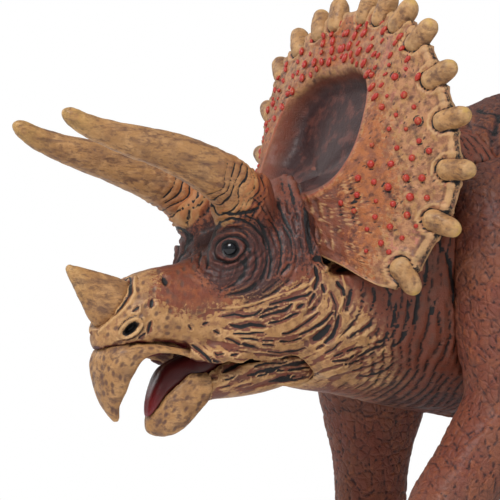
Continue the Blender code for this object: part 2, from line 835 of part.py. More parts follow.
def tongue_mesh(extra, lift):
    """The tongue, or with extra width and lift the trough that it lies in."""
    stations = []
    for along, height, half_width, half_thick in smoothed(TONGUE_SHARES, 2):
        spot = head_point(along, 0, height)
        half_thick *= TONGUE_THICKNESS
        half_width *= TONGUE_WIDTH / 2
        way = (along - TONGUE_SHARES[0][0]) / (TONGUE_SHARES[-1][0] - TONGUE_SHARES[0][0])
        stations.append((
            spot.x + extra * (1 - 2 * way), spot.z,
            half_width + extra, half_thick + lift, half_thick + extra,
        ))
    bm = bmesh.new()
    upright_loft(bm, stations, around=12, power=2.2)
    return mesh_of(bm, "tongue")


def lower_beak_mesh():
    """The pointed lower beak before the mandible's end and the tongue's trough are cut."""
    stations = []
    for along, half_width, top, bottom in smoothed(LOWER_BEAK_SHARES, 2):
        spot = head_point(along, 0, (top + bottom) / 2)
        half_height = (top - bottom) / 2 * HEAD_HEIGHT
        stations.append((
            spot.x, spot.z, half_width * LOWER_BEAK_WIDTH / 2, half_height, half_height
        ))
    bm = bmesh.new()
    upright_loft(bm, stations, around=14, power=2.4)
    return mesh_of(bm, "lower_beak")


def mandible_mesh():
    """The lower jaw with the hub that turns on the pin."""
    bm = bmesh.new()
    stations = []
    for along, widest, half_width, above, below in smoothed(MANDIBLE_SHARES, 3):
        spot = head_point(along, 0, widest)
        stations.append((
            spot.x, spot.z, half_width * JAW_WIDTH / 2,
            above * HEAD_HEIGHT, below * HEAD_HEIGHT,
        ))
    upright_loft(bm, stations, around=24, power=2.4)
    hinge = hinge_point()
    rod(bm, hinge, (0, 1, 0), HUB_RADIUS, HUB_WIDTH, segments=24)
    foot = head_point(*STALK_FOOT_SHARES)
    depth = HUB_RADIUS * STALK_DEPTH_SHARE
    stalk = [(*foot.lerp(hinge, share), HUB_WIDTH / 2, depth, depth) for share in (0, 0.5, 1)]
    limb(bm, stalk, around=20, power=3.0)
    mesh = fused(bm, FINE_VOXEL, JAW_FACES, rounds=3)
    bore = bmesh.new()
    rod(bore, hinge, (0, 1, 0), PIN_RADIUS + PIN_GAP, HUB_WIDTH + 2 * OVERRUN, segments=16)
    return combined(mesh, mesh_of(bore, "bore"), "DIFFERENCE")


PALATE_SHARES = [
    # along, height, half width
    (0.900, 0.3000, 0.45),
    (0.869, 0.3036, 0.80),
    (0.796, 0.3120, 1.00),
    (0.705, 0.3225, 1.00),
    (0.640, 0.3300, 0.80),
]


def palate_mesh():
    """The dark roof of the mouth, glued up inside the snout."""
    stations = []
    for along, height, half_width in PALATE_SHARES:
        spot = head_point(along, 0, height)
        stations.append((
            spot.x, spot.z, half_width * PALATE_WIDTH / 2,
            PALATE_THICKNESS / 2, PALATE_THICKNESS / 2,
        ))
    bm = bmesh.new()
    upright_loft(bm, stations, around=16, power=3.0)
    return mesh_of(bm, "palate")


def swept(meshes, clearance):
    """The space that the jaw's pieces pass through from shut to fully open."""
    hinge = hinge_point()
    total = None
    for mesh in meshes:
        fat = grown(mesh, clearance)
        for step in range(SWEEP_STEPS):
            share = step / (SWEEP_STEPS - 1)
            degrees = -JAW_SHUT_DEG + share * (JAW_SHUT_DEG + JAW_OPEN_DEG)
            turned = fat.copy()
            spin = Matrix.Rotation(math.radians(-degrees), 4, "Y")
            turned.transform(Matrix.Translation(hinge) @ spin @ Matrix.Translation(-hinge))
            bm = bmesh.new()
            if total:
                bm.from_mesh(total)
            bm.from_mesh(turned)
            total = mesh_of(bm, "swept")
    return evaluated(total, [
        ("REMESH", {"mode": "VOXEL", "voxel_size": FINE_VOXEL / 2}),
        ("DECIMATE", {"decimate_type": "COLLAPSE", "ratio": SWING_FACE_SHARE}),
    ])


def eye_mesh(side):
    """One round eye, set into its lids."""
    bm = bmesh.new()
    spot = head_point(*EYE_SHARES)
    spot.y *= side
    ball(bm, spot, (EYE_RADIUS, EYE_RADIUS, EYE_RADIUS), segments=10)
    return mesh_of(bm, "eye")


def plug_mesh(centre, radius, length):
    """A chamfered plug across the joint of two hollow pieces."""
    bm = bmesh.new()
    rod(bm, centre, (1, 0, 0), radius, length, segments=24, chamfer=PLUG_CHAMFER)
    return mesh_of(bm, "plug")


def pin_mesh():
    """The steel pin across the head that the jaw swings on."""
    bm = bmesh.new()
    rod(bm, hinge_point(), (0, 1, 0), PIN_RADIUS, PIN_LENGTH, segments=16)
    return mesh_of(bm, "pin")


# Looks: colour, roughness and, for metal, the metallic value

BRICK_LOOK = ((0.25, 0.075, 0.045), 0.62)
LEG_LOOK = ((0.3, 0.11, 0.06), 0.62)
FACE_LOOK = ((0.22, 0.07, 0.04), 0.6)
FRILL_LOOK = ((0.55, 0.2, 0.1), 0.6)
HORN_LOOK = ((0.55, 0.33, 0.14), 0.5)
JAW_LOOK = ((0.4, 0.2, 0.09), 0.6)
EYE_LOOK = ((0.01, 0.008, 0.008), 0.1)
TONGUE_LOOK = ((0.16, 0.01, 0.015), 0.25)
PALATE_LOOK = ((0.08, 0.01, 0.012), 0.4)
PLUG_LOOK = ((0.5, 0.5, 0.5), 0.5)
STEEL_LOOK = ((0.6, 0.6, 0.6), 0.3, 1.0)


def build():
    """Makes every piece of the figure."""
    for obj in list(bpy.data.objects):
        bpy.data.objects.remove(obj)
    sides = {"left": -1, "right": 1}

    # The jaw's own pieces, then the room that they swing in
    tongue = tongue_mesh(0, 0)
    trough = tongue_mesh(TROUGH_GAP, HEAD_HEIGHT * TROUGH_LIFT_SHARE)
    mandible = mandible_mesh()
    lower_beak = carved(lower_beak_mesh(), [mandible])
    mandible = combined(mandible, trough, "DIFFERENCE")
    lower_beak = combined(lower_beak, trough, "DIFFERENCE")
    swing = swept([mandible, lower_beak, tongue], JAW_GAP)

    # Head, with room for all that is set into it
    pin = pin_mesh()
    frill = carved(frill_mesh(), [pin])
    upper_beak = upper_beak_mesh()
    palate = palate_mesh()
    nose_horn = nose_horn_mesh()
    horns = {name: brow_horn_mesh(side) for name, side in sides.items()}
    eyes = {name: eye_mesh(side) for name, side in sides.items()}
    neck_joint = Vector((SHOULDER_X, 0, NECK_JOINT_SHARE * BACK_HEIGHT))
    neck_plug = plug_mesh(neck_joint, NECK_PLUG_RADIUS, NECK_PLUG_LENGTH)
    leg_pieces = legs()
    head = carved(head_mesh(), [upper_beak, palate, frill])
    upper_beak = carved(upper_beak, [palate])
    upper_beak = combined(upper_beak, swing, "DIFFERENCE")
    palate = combined(palate, swing, "DIFFERENCE")
    head = combined(head, swing, "DIFFERENCE")
    head = carved(head, [nose_horn, *horns.values(), *eyes.values(), pin, neck_plug])
    head = carved(head, [leg_pieces["foreleg_left"][0], leg_pieces["foreleg_right"][0]])

    # Trunk and tail
    tail_joint = Vector((TAIL_X, 0, TAIL_JOINT_SHARE * BACK_HEIGHT))
    tail_plug = plug_mesh(tail_joint, TAIL_PLUG_RADIUS, TAIL_PLUG_LENGTH)
    tail = carved(tail_mesh(), [tail_plug])
    torso = carved(trunk_mesh(), [neck_plug, tail_plug])
    torso = carved(torso, [mesh for mesh, _ in leg_pieces.values()])

    hinge = hinge_point()
    axis = bpy.data.objects.new("jaw_axis", None)
    bpy.context.scene.collection.objects.link(axis)
    axis.location = hinge
    piece("torso", torso, BRICK_LOOK)
    piece("head", head, FACE_LOOK, neck_joint)
    piece("frill", frill, FRILL_LOOK, head_point(*FRILL_CENTRE_SHARES))
    piece("tail", tail, BRICK_LOOK, tail_joint)
    piece("neck_plug", neck_plug, PLUG_LOOK)
    piece("tail_plug", tail_plug, PLUG_LOOK)
    piece("upper_beak", upper_beak, HORN_LOOK)
    piece("nose_horn", nose_horn, HORN_LOOK)
    for name in sides:
        piece("brow_horn_" + name, horns[name], HORN_LOOK)
        piece("eye_" + name, eyes[name], EYE_LOOK)
    piece("palate", palate, PALATE_LOOK)
    piece("jaw_pin", pin, STEEL_LOOK, hinge)
    piece("lower_jaw", mandible, JAW_LOOK, hinge, axis)
    piece("lower_beak", lower_beak, HORN_LOOK, None, axis)
    piece("tongue", tongue, TONGUE_LOOK, None, axis)
    for name, (mesh, pivot) in leg_pieces.items():
        piece(name, mesh, LEG_LOOK, pivot)


build()
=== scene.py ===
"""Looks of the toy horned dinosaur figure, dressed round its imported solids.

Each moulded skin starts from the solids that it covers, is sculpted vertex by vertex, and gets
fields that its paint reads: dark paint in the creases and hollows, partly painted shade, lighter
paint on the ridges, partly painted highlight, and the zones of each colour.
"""

import logging
import math
from dataclasses import dataclass
from enum import Enum
from typing import Callable, Sequence

import bmesh
import bpy
import numpy as np
from mathutils import Matrix, Vector
from mathutils.bvhtree import BVHTree


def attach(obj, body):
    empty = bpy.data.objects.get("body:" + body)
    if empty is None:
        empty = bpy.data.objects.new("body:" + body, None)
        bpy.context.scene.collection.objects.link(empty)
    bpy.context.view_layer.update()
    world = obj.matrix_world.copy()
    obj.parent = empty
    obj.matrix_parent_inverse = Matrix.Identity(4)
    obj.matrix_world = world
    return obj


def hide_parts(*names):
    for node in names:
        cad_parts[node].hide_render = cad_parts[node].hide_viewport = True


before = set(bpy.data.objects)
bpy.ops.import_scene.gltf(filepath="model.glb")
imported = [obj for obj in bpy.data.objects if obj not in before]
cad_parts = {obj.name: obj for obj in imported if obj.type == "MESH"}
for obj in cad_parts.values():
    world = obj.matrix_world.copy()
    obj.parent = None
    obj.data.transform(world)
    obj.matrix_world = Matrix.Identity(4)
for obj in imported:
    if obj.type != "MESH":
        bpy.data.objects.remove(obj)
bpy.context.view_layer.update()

LOG = logging.getLogger("figure")
MM = 0.001
PHOTO_SIDE = 500

Colour = tuple[float, float, float]
Stroke = tuple[float, ...]


class Body(Enum):
    """The two bodies that pieces ride on."""

    FIGURE = "figure"
    JAW = "jaw"


class Slot(Enum):
    """The record's material slots."""

    BODY = "body_skin"
    HEAD = "head_skin"
    FRILL = "frill_skin"
    HORN = "horn"
    JAW = "jaw_skin"
    MOUTH = "mouth"
    EYE = "eye"


@dataclass(frozen=True)
class PhotoCamera:
    """The camera that took the photograph, in the row frame."""

    place: tuple[float, float, float] = (-0.35825, -0.43097, 0.03115)
    heading_deg: float = 33.0
    elevation_deg: float = -5.0
    focal_px: float = 2392.5
    sensor_mm: float = 36.0

    def axes(self) -> np.ndarray:
        """The camera's right, up and backward directions, as rows."""
        turn, lift = math.radians(self.heading_deg), math.radians(self.elevation_deg)
        back = np.array([
            -math.sin(turn) * math.cos(lift), -math.cos(turn) * math.cos(lift), math.sin(lift)
        ])
        right = np.array([math.cos(turn), -math.sin(turn), 0.0])
        return np.array([right, np.cross(back, right), back])

    def pixels(self, points: np.ndarray) -> np.ndarray:
        """The photograph's pixels where points of the row frame show."""
        seen = (points - np.array(self.place)) @ self.axes().T
        middle = PHOTO_SIDE / 2
        across = middle + self.focal_px * seen[:, 0] / -seen[:, 2]
        down = middle - self.focal_px * seen[:, 1] / -seen[:, 2]
        return np.stack([across, down], axis=1)

    def ray(self, pixel: Sequence[float]) -> Vector:
        """The direction from the camera through a pixel."""
        right, up, back = self.axes()
        middle = PHOTO_SIDE / 2
        across, down = (pixel[0] - middle) / self.focal_px, (middle - pixel[1]) / self.focal_px
        return Vector(-back + across * right + down * up).normalized()

    def build(self) -> None:
        """Makes the scene's camera."""
        data = bpy.data.cameras.new("photo_camera")
        data.sensor_width = self.sensor_mm
        data.lens = self.focal_px / PHOTO_SIDE * self.sensor_mm
        data.clip_start, data.clip_end = 0.01, 20.0
        made = bpy.data.objects.new("photo_camera", data)
        turned = Matrix(self.axes().T.tolist()).to_4x4()
        made.matrix_world = Matrix.Translation(self.place) @ turned
        bpy.context.scene.collection.objects.link(made)
        bpy.context.scene.camera = made


CAMERA = PhotoCamera()


# Noise over points


def hashed(cells: np.ndarray, seed: int) -> np.ndarray:
    """A number from 0 to 1 for each whole-numbered cell."""
    mask = np.uint64(0xFFFFFFFF)
    mixed = cells.astype(np.int64).astype(np.uint64)
    value = (
        mixed[:, 0] * np.uint64(374761393) + mixed[:, 1] * np.uint64(668265263)
        + mixed[:, 2] * np.uint64(2246822519) + np.uint64(seed * 3266489917 % 2**32)
    ) & mask
    value = ((value ^ (value >> np.uint64(15))) * np.uint64(2654435761)) & mask
    value = ((value ^ (value >> np.uint64(13))) * np.uint64(1597334677)) & mask
    return (value ^ (value >> np.uint64(16))).astype(float) / float(mask)


def cloud(points: np.ndarray, size: float, seed: int = 0) -> np.ndarray:
    """Smooth noise from -1 to 1 with lumps of about the given size."""
    scaled = points / size + 1000.0
    low = np.floor(scaled)
    part = scaled - low
    part = part * part * (3 - 2 * part)
    total = np.zeros(len(points))
    for corner in np.ndindex(2, 2, 2):
        weight = np.prod(np.where(np.array(corner), part, 1 - part), axis=1)
        total += weight * hashed(low + corner, seed)
    return total * 2 - 1


def clouds(points: np.ndarray, size: float, seed: int = 0, octaves: int = 3) -> np.ndarray:
    """Noise from about -1 to 1 with finer lumps on coarser ones."""
    total, share = np.zeros(len(points)), 1.0
    for octave in range(octaves):
        total += share * cloud(points, size / 2**octave, seed + octave)
        share /= 2
    return total / 1.6


def scales(points: np.ndarray, size: float, seed: int = 0) -> tuple[np.ndarray, np.ndarray]:
    """Each point's way in from the border of its scale, up to 1, and a number for the scale."""
    scaled = points / size + 1000.0
    low = np.floor(scaled)
    best = np.full((2, len(points)), 9.0)
    name = np.zeros(len(points))
    for corner in np.ndindex(3, 3, 3):
        cell = low + np.array(corner) - 1
        spot = cell + np.stack([hashed(cell, seed + 11 * k) for k in range(3)], axis=1)
        away = np.linalg.norm(spot - scaled, axis=1)
        name = np.where(away < best[0], hashed(cell, seed + 5), name)
        second = np.maximum(best[0], away)
        best = np.stack([np.minimum(best[0], away), np.minimum(best[1], second)])
    return np.clip((best[1] - best[0]) * 1.6, 0, 1), name


def eased(values: np.ndarray, low: float, high: float) -> np.ndarray:
    """0 below low, 1 above high and a smooth step between them."""
    share = np.clip((values - low) / (high - low), 0, 1)
    return share * share * (3 - 2 * share)


def hill(values: np.ndarray, middle: float, width: float) -> np.ndarray:
    """1 at the middle, falling off over the width on both sides."""
    return np.exp(-((values - middle) / width) ** 2)


def path_distance(pixels: np.ndarray, points: np.ndarray) -> tuple[np.ndarray, np.ndarray]:
    """Each pixel's distance to a path, and the share of the path that is passed there."""
    lengths = np.linalg.norm(np.diff(points, axis=0), axis=1)
    nearest, passed = np.full(len(pixels), 1e9), np.zeros(len(pixels))
    for index, length in enumerate(lengths):
        way = (points[index + 1] - points[index]) / length
        along = np.clip((pixels - points[index]) @ way, 0, length)
        away = np.linalg.norm(pixels - points[index] - along[:, None] * way, axis=1)
        closer = away < nearest
        nearest = np.where(closer, away, nearest)
        passed = np.where(closer, (lengths[:index].sum() + along) / lengths.sum(), passed)
    return nearest, passed


class Flow:
    """The direction that creases run in, averaged from strokes."""

    def __init__(self, strokes: Sequence[Stroke], step: float = 12.0, reach: float = 8.0) -> None:
        """Averages the strokes' directions over a coarse grid of pixels."""
        nodes = np.arange(-2 * step, PHOTO_SIDE + 3 * step, step)
        self.step, self.low = step, nodes[0]
        grid = np.stack(np.meshgrid(nodes, nodes, indexing="ij"), axis=-1)
        self.turn = np.zeros(grid.shape)
        for stroke in strokes:
            points = np.array(stroke[1:], float).reshape(-1, 2)
            for start, end in zip(points[:-1], points[1:]):
                way = end - start
                away = ((grid - (start + end) / 2) ** 2).sum(axis=-1)
                double = 2 * math.atan2(way[1], way[0])
                weight = np.linalg.norm(way) / (away + reach**2) ** 1.5
                self.turn += weight[..., None] * [math.cos(double), math.sin(double)]

    def way(self, pixels: np.ndarray) -> np.ndarray:
        """The flow's direction at pixels."""
        place = np.clip((pixels - self.low) / self.step, 0, len(self.turn) - 1.001)
        cell = place.astype(int)
        part = place - cell
        total = np.zeros((len(pixels), 2))
        for corner in np.ndindex(2, 2):
            weight = np.prod(np.where(np.array(corner), part, 1 - part), axis=1)
            total += self.turn[cell[:, 0] + corner[0], cell[:, 1] + corner[1]] * weight[:, None]
        angle = np.arctan2(total[:, 1], total[:, 0]) / 2
        return np.stack([np.cos(angle), np.sin(angle)], axis=1)


def hollows_along(
    pixels: np.ndarray, flow: Flow, size: float, stretch: float, seed: int
) -> tuple[np.ndarray, np.ndarray]:
    """Long hollows that lie along a flow.

    Args:
        pixels: where they are wanted.
        flow: their direction.
        size: about how far apart they are.
        stretch: how much longer than wide they are.
        seed: the seed of their places.

    Returns:
        The depth, 1 in the middle of a hollow and 0 between them, and a number for the hollow.
    """
    low = np.floor(pixels / size)
    best, name = np.full(len(pixels), 9.0), np.zeros(len(pixels))
    third = np.full(len(pixels), float(seed))
    for corner in np.ndindex(5, 5):
        cell = low + np.array(corner) - 2
        keys = np.stack([cell[:, 0] + 500, cell[:, 1] + 500, third], axis=1)
        spot = (cell + np.stack([hashed(keys, seed), hashed(keys, seed + 1)], axis=1)) * size
        way = flow.way(spot)
        offset = pixels - spot
        along = (offset * way).sum(axis=1) / stretch
        across = offset[:, 0] * way[:, 1] - offset[:, 1] * way[:, 0]
        away = np.hypot(along, across) / (0.36 * size)
        name = np.where(away < best, hashed(keys, seed + 2), name)
        best = np.minimum(best, away)
    return 1 - eased(best, 0.1, 1.0), name


def streaks(
    pixels: np.ndarray, flow: Flow, size: float, reach: float, seed: int, steps: int = 7
) -> np.ndarray:
    """Noise that is drawn out along a flow.

    Args:
        pixels: where it is wanted.
        flow: its direction.
        size: the width of its lumps, in pixels.
        reach: how far it is drawn out each way, in pixels.
        seed: the seed of the noise.
        steps: the steps on each side.

    Returns:
        Values with a mean of 0 and a spread of 1.
    """
    flat = np.full((len(pixels), 1), 0.5)
    total = cloud(np.hstack([pixels, flat]), size, seed)
    first = flow.way(pixels)
    for side in (-1, 1):
        place, last = pixels, side * first
        for _ in range(steps):
            place = place + last * reach / steps
            way = flow.way(place)
            last = way * np.where((way * last).sum(axis=1) < 0, -1.0, 1.0)[:, None]
            total += cloud(np.hstack([place, flat]), size, seed)
    return (total - total.mean()) / max(float(total.std()), 1e-6)


# Meshes and skins


def solid_copy(node: str) -> bmesh.types.BMesh:
    """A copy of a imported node's solid with its points merged."""
    bm = bmesh.new()
    bm.from_mesh(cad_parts[node].data)
    bmesh.ops.remove_doubles(bm, verts=bm.verts[:], dist=0.000002)
    return bm


def lump(place: Sequence[float], size: Sequence[float], level: int = 3) -> bmesh.types.BMesh:
    """An ellipsoid of the given half sizes."""
    bm = bmesh.new()
    bmesh.ops.create_icosphere(bm, subdivisions=level, radius=1)
    bmesh.ops.scale(bm, vec=Vector(size), verts=bm.verts[:])
    bmesh.ops.translate(bm, vec=Vector(place), verts=bm.verts[:])
    return bm


def joined(parts: Sequence[bmesh.types.BMesh]) -> bpy.types.Mesh:
    """One mesh of several shapes, which are freed."""
    total = bmesh.new()
    for part in parts:
        mesh = bpy.data.meshes.new("part")
        part.to_mesh(mesh)
        part.free()
        total.from_mesh(mesh)
        bpy.data.meshes.remove(mesh)
    mesh = bpy.data.meshes.new("joined")
    total.to_mesh(mesh)
    total.free()
    return mesh


def evaluated(mesh: bpy.types.Mesh, modifiers: Sequence[tuple[str, dict]]) -> bpy.types.Mesh:
    """The mesh after modifiers, which are given as (type, settings) pairs."""
    helper = bpy.data.objects.new("helper", mesh)
    bpy.context.scene.collection.objects.link(helper)
    for kind, settings in modifiers:
        modifier = helper.modifiers.new(kind.title(), kind)
        for key, value in settings.items():
            setattr(modifier, key, value)
    graph = bpy.context.evaluated_depsgraph_get()
    graph.update()
    result = bpy.data.meshes.new_from_object(helper.evaluated_get(graph))
    bpy.data.objects.remove(helper)
    return result


class Skin:
    """A fine closed mesh that is sculpted and painted vertex by vertex."""

    def __init__(self, mesh: bpy.types.Mesh) -> None:
        """Starts on a mesh in the row frame."""
        self.mesh = mesh
        self.fields: dict[str, np.ndarray] = {}
        self.read()

    @classmethod
    def over(
        cls, mesh: bpy.types.Mesh, voxel: float, rounds: int = 6, grow: float = 0.0
    ) -> "Skin":
        """A fine even skin over solids.

        Args:
            mesh: closed solids, which may overlap.
            voxel: the fineness of the skin.
            rounds: how often it is smoothed.
            grow: how far it then stands proud, to close the gaps between pieces.

        Returns:
            The skin.
        """
        skin = cls(evaluated(mesh, [
            ("SUBSURF", {"levels": 2, "render_levels": 2}),
            ("REMESH", {"mode": "VOXEL", "voxel_size": voxel}),
            ("SMOOTH", {"factor": 0.5, "iterations": rounds}),
        ]))
        skin.push(np.full(len(skin.points), grow))
        return skin

    def read(self) -> None:
        """Reads the mesh's points and edges."""
        self.points = np.empty(len(self.mesh.vertices) * 3)
        self.mesh.vertices.foreach_get("co", self.points)
        self.points = self.points.reshape(-1, 3)
        self.edges = np.empty(len(self.mesh.edges) * 2, np.int64)
        self.mesh.edges.foreach_get("vertices", self.edges)
        self.edges = self.edges.reshape(-1, 2)
        self.count = np.bincount(self.edges.ravel(), minlength=len(self.points))
        self.refresh()

    def refresh(self) -> None:
        """Writes the points to the mesh and reads its normals."""
        self.mesh.vertices.foreach_set("co", self.points.astype(np.float32).ravel())
        self.mesh.update()
        self.normals = np.empty(len(self.points) * 3)
        self.mesh.vertices.foreach_get("normal", self.normals)
        self.normals = self.normals.reshape(-1, 3)

    def refine(self, inside: np.ndarray) -> None:
        """Halves the faces whose points are marked."""
        bm = bmesh.new()
        bm.from_mesh(self.mesh)
        edges = [edge for edge in bm.edges if all(inside[vert.index] for vert in edge.verts)]
        made = bmesh.ops.subdivide_edges(bm, edges=edges, cuts=1, use_grid_fill=True)
        fresh = {item for item in made["geom"] if isinstance(item, bmesh.types.BMVert)}
        for _ in range(2):
            bmesh.ops.smooth_vert(
                bm, verts=list(fresh), factor=0.5,
                use_axis_x=True, use_axis_y=True, use_axis_z=True)
        bm.to_mesh(self.mesh)
        bm.free()
        self.read()

    def push(self, heights: np.ndarray) -> None:
        """Moves each point out along its normal."""
        self.points = self.points + self.normals * heights[:, None]
        self.refresh()

    def spread(self, values: np.ndarray, rounds: int = 1) -> np.ndarray:
        """Values averaged with their neighbours' so many times."""
        first, second = self.edges.T
        for _ in range(rounds):
            total = np.bincount(first, values[second], len(values))
            total += np.bincount(second, values[first], len(values))
            values = 0.5 * values + 0.5 * total / np.maximum(self.count, 1)
        return values

    def near(self) -> tuple[np.ndarray, np.ndarray]:
        """Pixels of the points and how much they face the camera, both as on the near side."""
        side = np.where(self.points[:, 1] > 0, -1.0, 1.0)[:, None]
        flip = np.hstack([np.ones_like(side), side, np.ones_like(side)])
        facing = (self.normals * flip) @ CAMERA.axes()[2]
        return CAMERA.pixels(self.points * flip), np.clip(facing * 2.2 + 0.15, 0, 1)

    def shade_and_highlight_fields(self, reach: int = 3, scale: float = 0.12 * MM) -> None:
        """Writes the fields of hollows and ridges: pit darkens the hollows with paint that is partly
        painted shade, and peak lightens the ridges with paint that is partly painted highlight.
        """
        mean = np.stack([self.spread(self.points[:, k], reach) for k in range(3)], axis=1)
        depth = ((mean - self.points) * self.normals).sum(axis=1) / scale
        self.fields["pit"] = np.clip(depth, 0, 1)
        self.fields["peak"] = np.clip(-depth, 0, 1)

    def finished(
        self, name: str, body: Body, slot: Slot, finish: bpy.types.Material,
        replaced: Sequence[str] = (),
    ) -> bpy.types.Object:
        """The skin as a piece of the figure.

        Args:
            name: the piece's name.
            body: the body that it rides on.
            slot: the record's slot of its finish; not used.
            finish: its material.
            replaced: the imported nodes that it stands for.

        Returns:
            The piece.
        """
        for field, values in self.fields.items():
            attribute = self.mesh.attributes.new(field, "FLOAT", "POINT")
            attribute.data.foreach_set("value", np.clip(values, 0, 1).astype(np.float32))
        return dressed(self.mesh, name, body, finish, replaced)


def dressed(
    mesh: bpy.types.Mesh, name: str, body: Body, finish: bpy.types.Material,
    replaced: Sequence[str] = (),
) -> bpy.types.Object:
    """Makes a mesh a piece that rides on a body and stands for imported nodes."""
    mesh.name = name
    mesh.materials.clear()
    mesh.materials.append(finish)
    mesh.shade_smooth()
    piece = bpy.data.objects.new(name, mesh)
    bpy.context.scene.collection.objects.link(piece)
    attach(piece, body.value)
    if replaced:
        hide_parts(*replaced)
    triangles = sum(len(face.vertices) - 2 for face in mesh.polygons)
    LOG.info("%s: %d triangles on %s", name, triangles, body.value)
    return piece


def smoothed(rows: Sequence[Sequence[float]], steps: int) -> np.ndarray:
    """The rows of a table with steps - 1 more between each two, on a smooth curve."""
    table = np.array(rows, float)
    padded = np.vstack([2 * table[0] - table[1], table, 2 * table[-1] - table[-2]])
    out = []
    for index in range(len(table) - 1):
        before, start, end, after = padded[index:index + 4]
        for step in range(steps):
            t = step / steps
            out.append(0.5 * (
                2 * start + (end - before) * t
                + (2 * before - 5 * start + 4 * end - after) * t**2
                + (3 * start - before - 3 * end + after) * t**3
            ))
    out.append(table[-1])
    return np.array(out)


def globe(points: np.ndarray) -> bmesh.types.BMesh:
    """A closed shape whose rows run from pole to pole, and whose last row meets its first.

    Args:
        points: the rows of points.

    Returns:
        The shape, facing outwards, with its points' columns in the layer "column".
    """
    rows, columns = points.shape[:2]
    bm = bmesh.new()
    bmesh.ops.create_grid(bm, x_segments=columns - 1, y_segments=rows, size=1)
    layer = bm.verts.layers.float.new("column")
    for vert in bm.verts:
        column = round((vert.co.x + 1) / 2 * (columns - 1))
        row = round((vert.co.y + 1) / 2 * rows) % rows
        vert.co = points[row, column]
        vert[layer] = column
    bmesh.ops.remove_doubles(bm, verts=bm.verts[:], dist=0.000001)
    bmesh.ops.recalc_face_normals(bm, faces=bm.faces[:])
    return bm


# Strokes that were read off the photograph, in its pixels: half width, then places

FACE_CREASES = (
    # Cheekbone and the long creases under it
    (1.5, 222, 316, 235, 314, 244, 316, 255, 315, 262, 310),
    (2.0, 270, 305, 280, 302, 295, 298, 308, 295, 312, 292),
    (2.2, 260, 318, 274, 313, 286, 310, 292, 304),
    (2.4, 230, 325, 240, 327, 251, 324, 266, 326),
    (1.3, 234, 334, 244, 334, 257, 333, 264, 333),
    (1.5, 268, 323, 281, 321, 290, 316, 299, 313),
    (1.6, 282, 334, 288, 333, 299, 328, 309, 321, 318, 313),
    (1.1, 241, 339, 251, 339, 259, 341),
    (1.3, 263, 341, 274, 341),
    (1.4, 279, 342, 290, 341, 302, 338),
    (1.8, 226, 339, 235, 342, 241, 345),
    (2.1, 243, 344, 251, 347, 259, 349),
    (1.4, 263, 345, 274, 346),
    (1.3, 268, 352, 281, 353, 295, 351, 306, 348),
    (2.2, 309, 305, 312, 299, 315, 294),
    (2.0, 303, 304, 298, 308),
    (1.8, 318, 327, 327, 319, 333, 312),
    (1.4, 299, 335, 310, 331, 322, 323),
    # Snout
    (2.2, 130, 277, 130, 291, 126, 299, 117, 309, 107, 318, 96, 327),
    (1.3, 100, 355, 110, 357),
    (1.6, 113, 357, 118, 357, 129, 356, 137, 352, 149, 347, 160, 346, 176, 348),
    (1.9, 192, 345, 200, 350, 207, 357, 212, 365, 217, 366),
    (1.7, 215, 352, 218, 355, 223, 354),
    (1.9, 231, 355, 238, 354),
    (1.9, 151, 322, 148, 333),
    (2.4, 152, 300, 151, 307),
    (3.2, 163, 277, 166, 284),
    (1.8, 133, 311, 139, 307),
    (1.6, 189, 325, 192, 329),
    (1.8, 214, 331, 219, 334),
    (1.6, 203, 325, 208, 322),
    (1.4, 139, 339, 145, 334),
    # Lids and folds round the eye
    (1.8, 207, 268, 208, 251, 212, 235, 219, 223, 231, 219, 244, 221, 255, 227, 263, 237, 267, 249),
    (2.2, 221, 214, 236, 215, 251, 212, 259, 208),
    (1.7, 258, 217, 264, 232, 269, 244, 272, 261, 268, 279),
    (1.5, 269, 219, 278, 231, 282, 247, 281, 264, 277, 274),
    (1.5, 282, 224, 291, 238, 293, 254, 291, 261),
    (2.0, 289, 264, 281, 275),
    (1.0, 282, 277, 262, 293),
    (1.3, 198, 268, 201, 248, 207, 230, 213, 219),
    (1.2, 191, 262, 194, 245, 199, 232),
    (1.3, 246, 216, 256, 220, 266, 228),
    # Ear pit and the folds behind the cheek
    (4.2, 314, 258, 322, 259, 330, 262),
    (2.4, 315, 266, 318, 279, 315, 289),
    (2.0, 322, 284, 325, 292),
    (1.8, 337, 270, 346, 268, 355, 269),
    (2.0, 337, 282, 343, 289, 344, 296),
    (2.4, 346, 311, 350, 298, 352, 289),
    (2.4, 325, 343, 332, 337, 337, 328, 339, 316),
    (1.2, 335, 319, 336, 305, 331, 292),
    (1.7, 371, 311, 375, 298, 374, 287),
    (1.4, 361, 292, 364, 279, 369, 274),
    (2.0, 361, 300, 363, 303),
    # Brow
    (1.6, 186, 205, 191, 193, 195, 184),
    (2.2, 187, 216, 192, 203),
    (1.4, 203, 222, 206, 213),
)
HOOD_CREASES = (
    (1.9, 286, 199, 290, 213),
    (2.1, 294, 217, 297, 232),
    (2.0, 315, 199, 319, 218),
    (1.6, 304, 195, 309, 210),
    (1.6, 326, 206, 329, 222),
    (1.6, 317, 228, 319, 242),
    (1.5, 335, 225, 337, 238),
    (1.3, 341, 212, 344, 226),
    (1.4, 329, 238, 331, 248),
    (1.4, 300, 238, 303, 252),
    (1.3, 309, 221, 311, 236),
    (1.5, 278, 190, 283, 204),
    (1.3, 270, 186, 273, 200),
    (1.2, 297, 183, 300, 194),
    (1.2, 322, 186, 325, 197),
)
JAW_CREASES = (
    (1.8, 280, 358, 295, 356, 308, 353, 316, 351),
    (2.5, 223, 371, 235, 365, 248, 360, 260, 359),
    (1.6, 255, 366, 269, 363, 287, 362),
    (1.2, 241, 382, 251, 378),
    (1.2, 258, 376, 267, 374),
    (1.3, 278, 371, 297, 370, 311, 367),
    (1.1, 218, 388, 231, 386),
    (1.6, 202, 370, 203, 384, 204, 396, 205, 399),
    (1.3, 208, 379, 218, 378),
    (1.1, 222, 381, 236, 376),
    (1.0, 236, 388, 252, 384),
    (1.2, 292, 377, 308, 374),
)
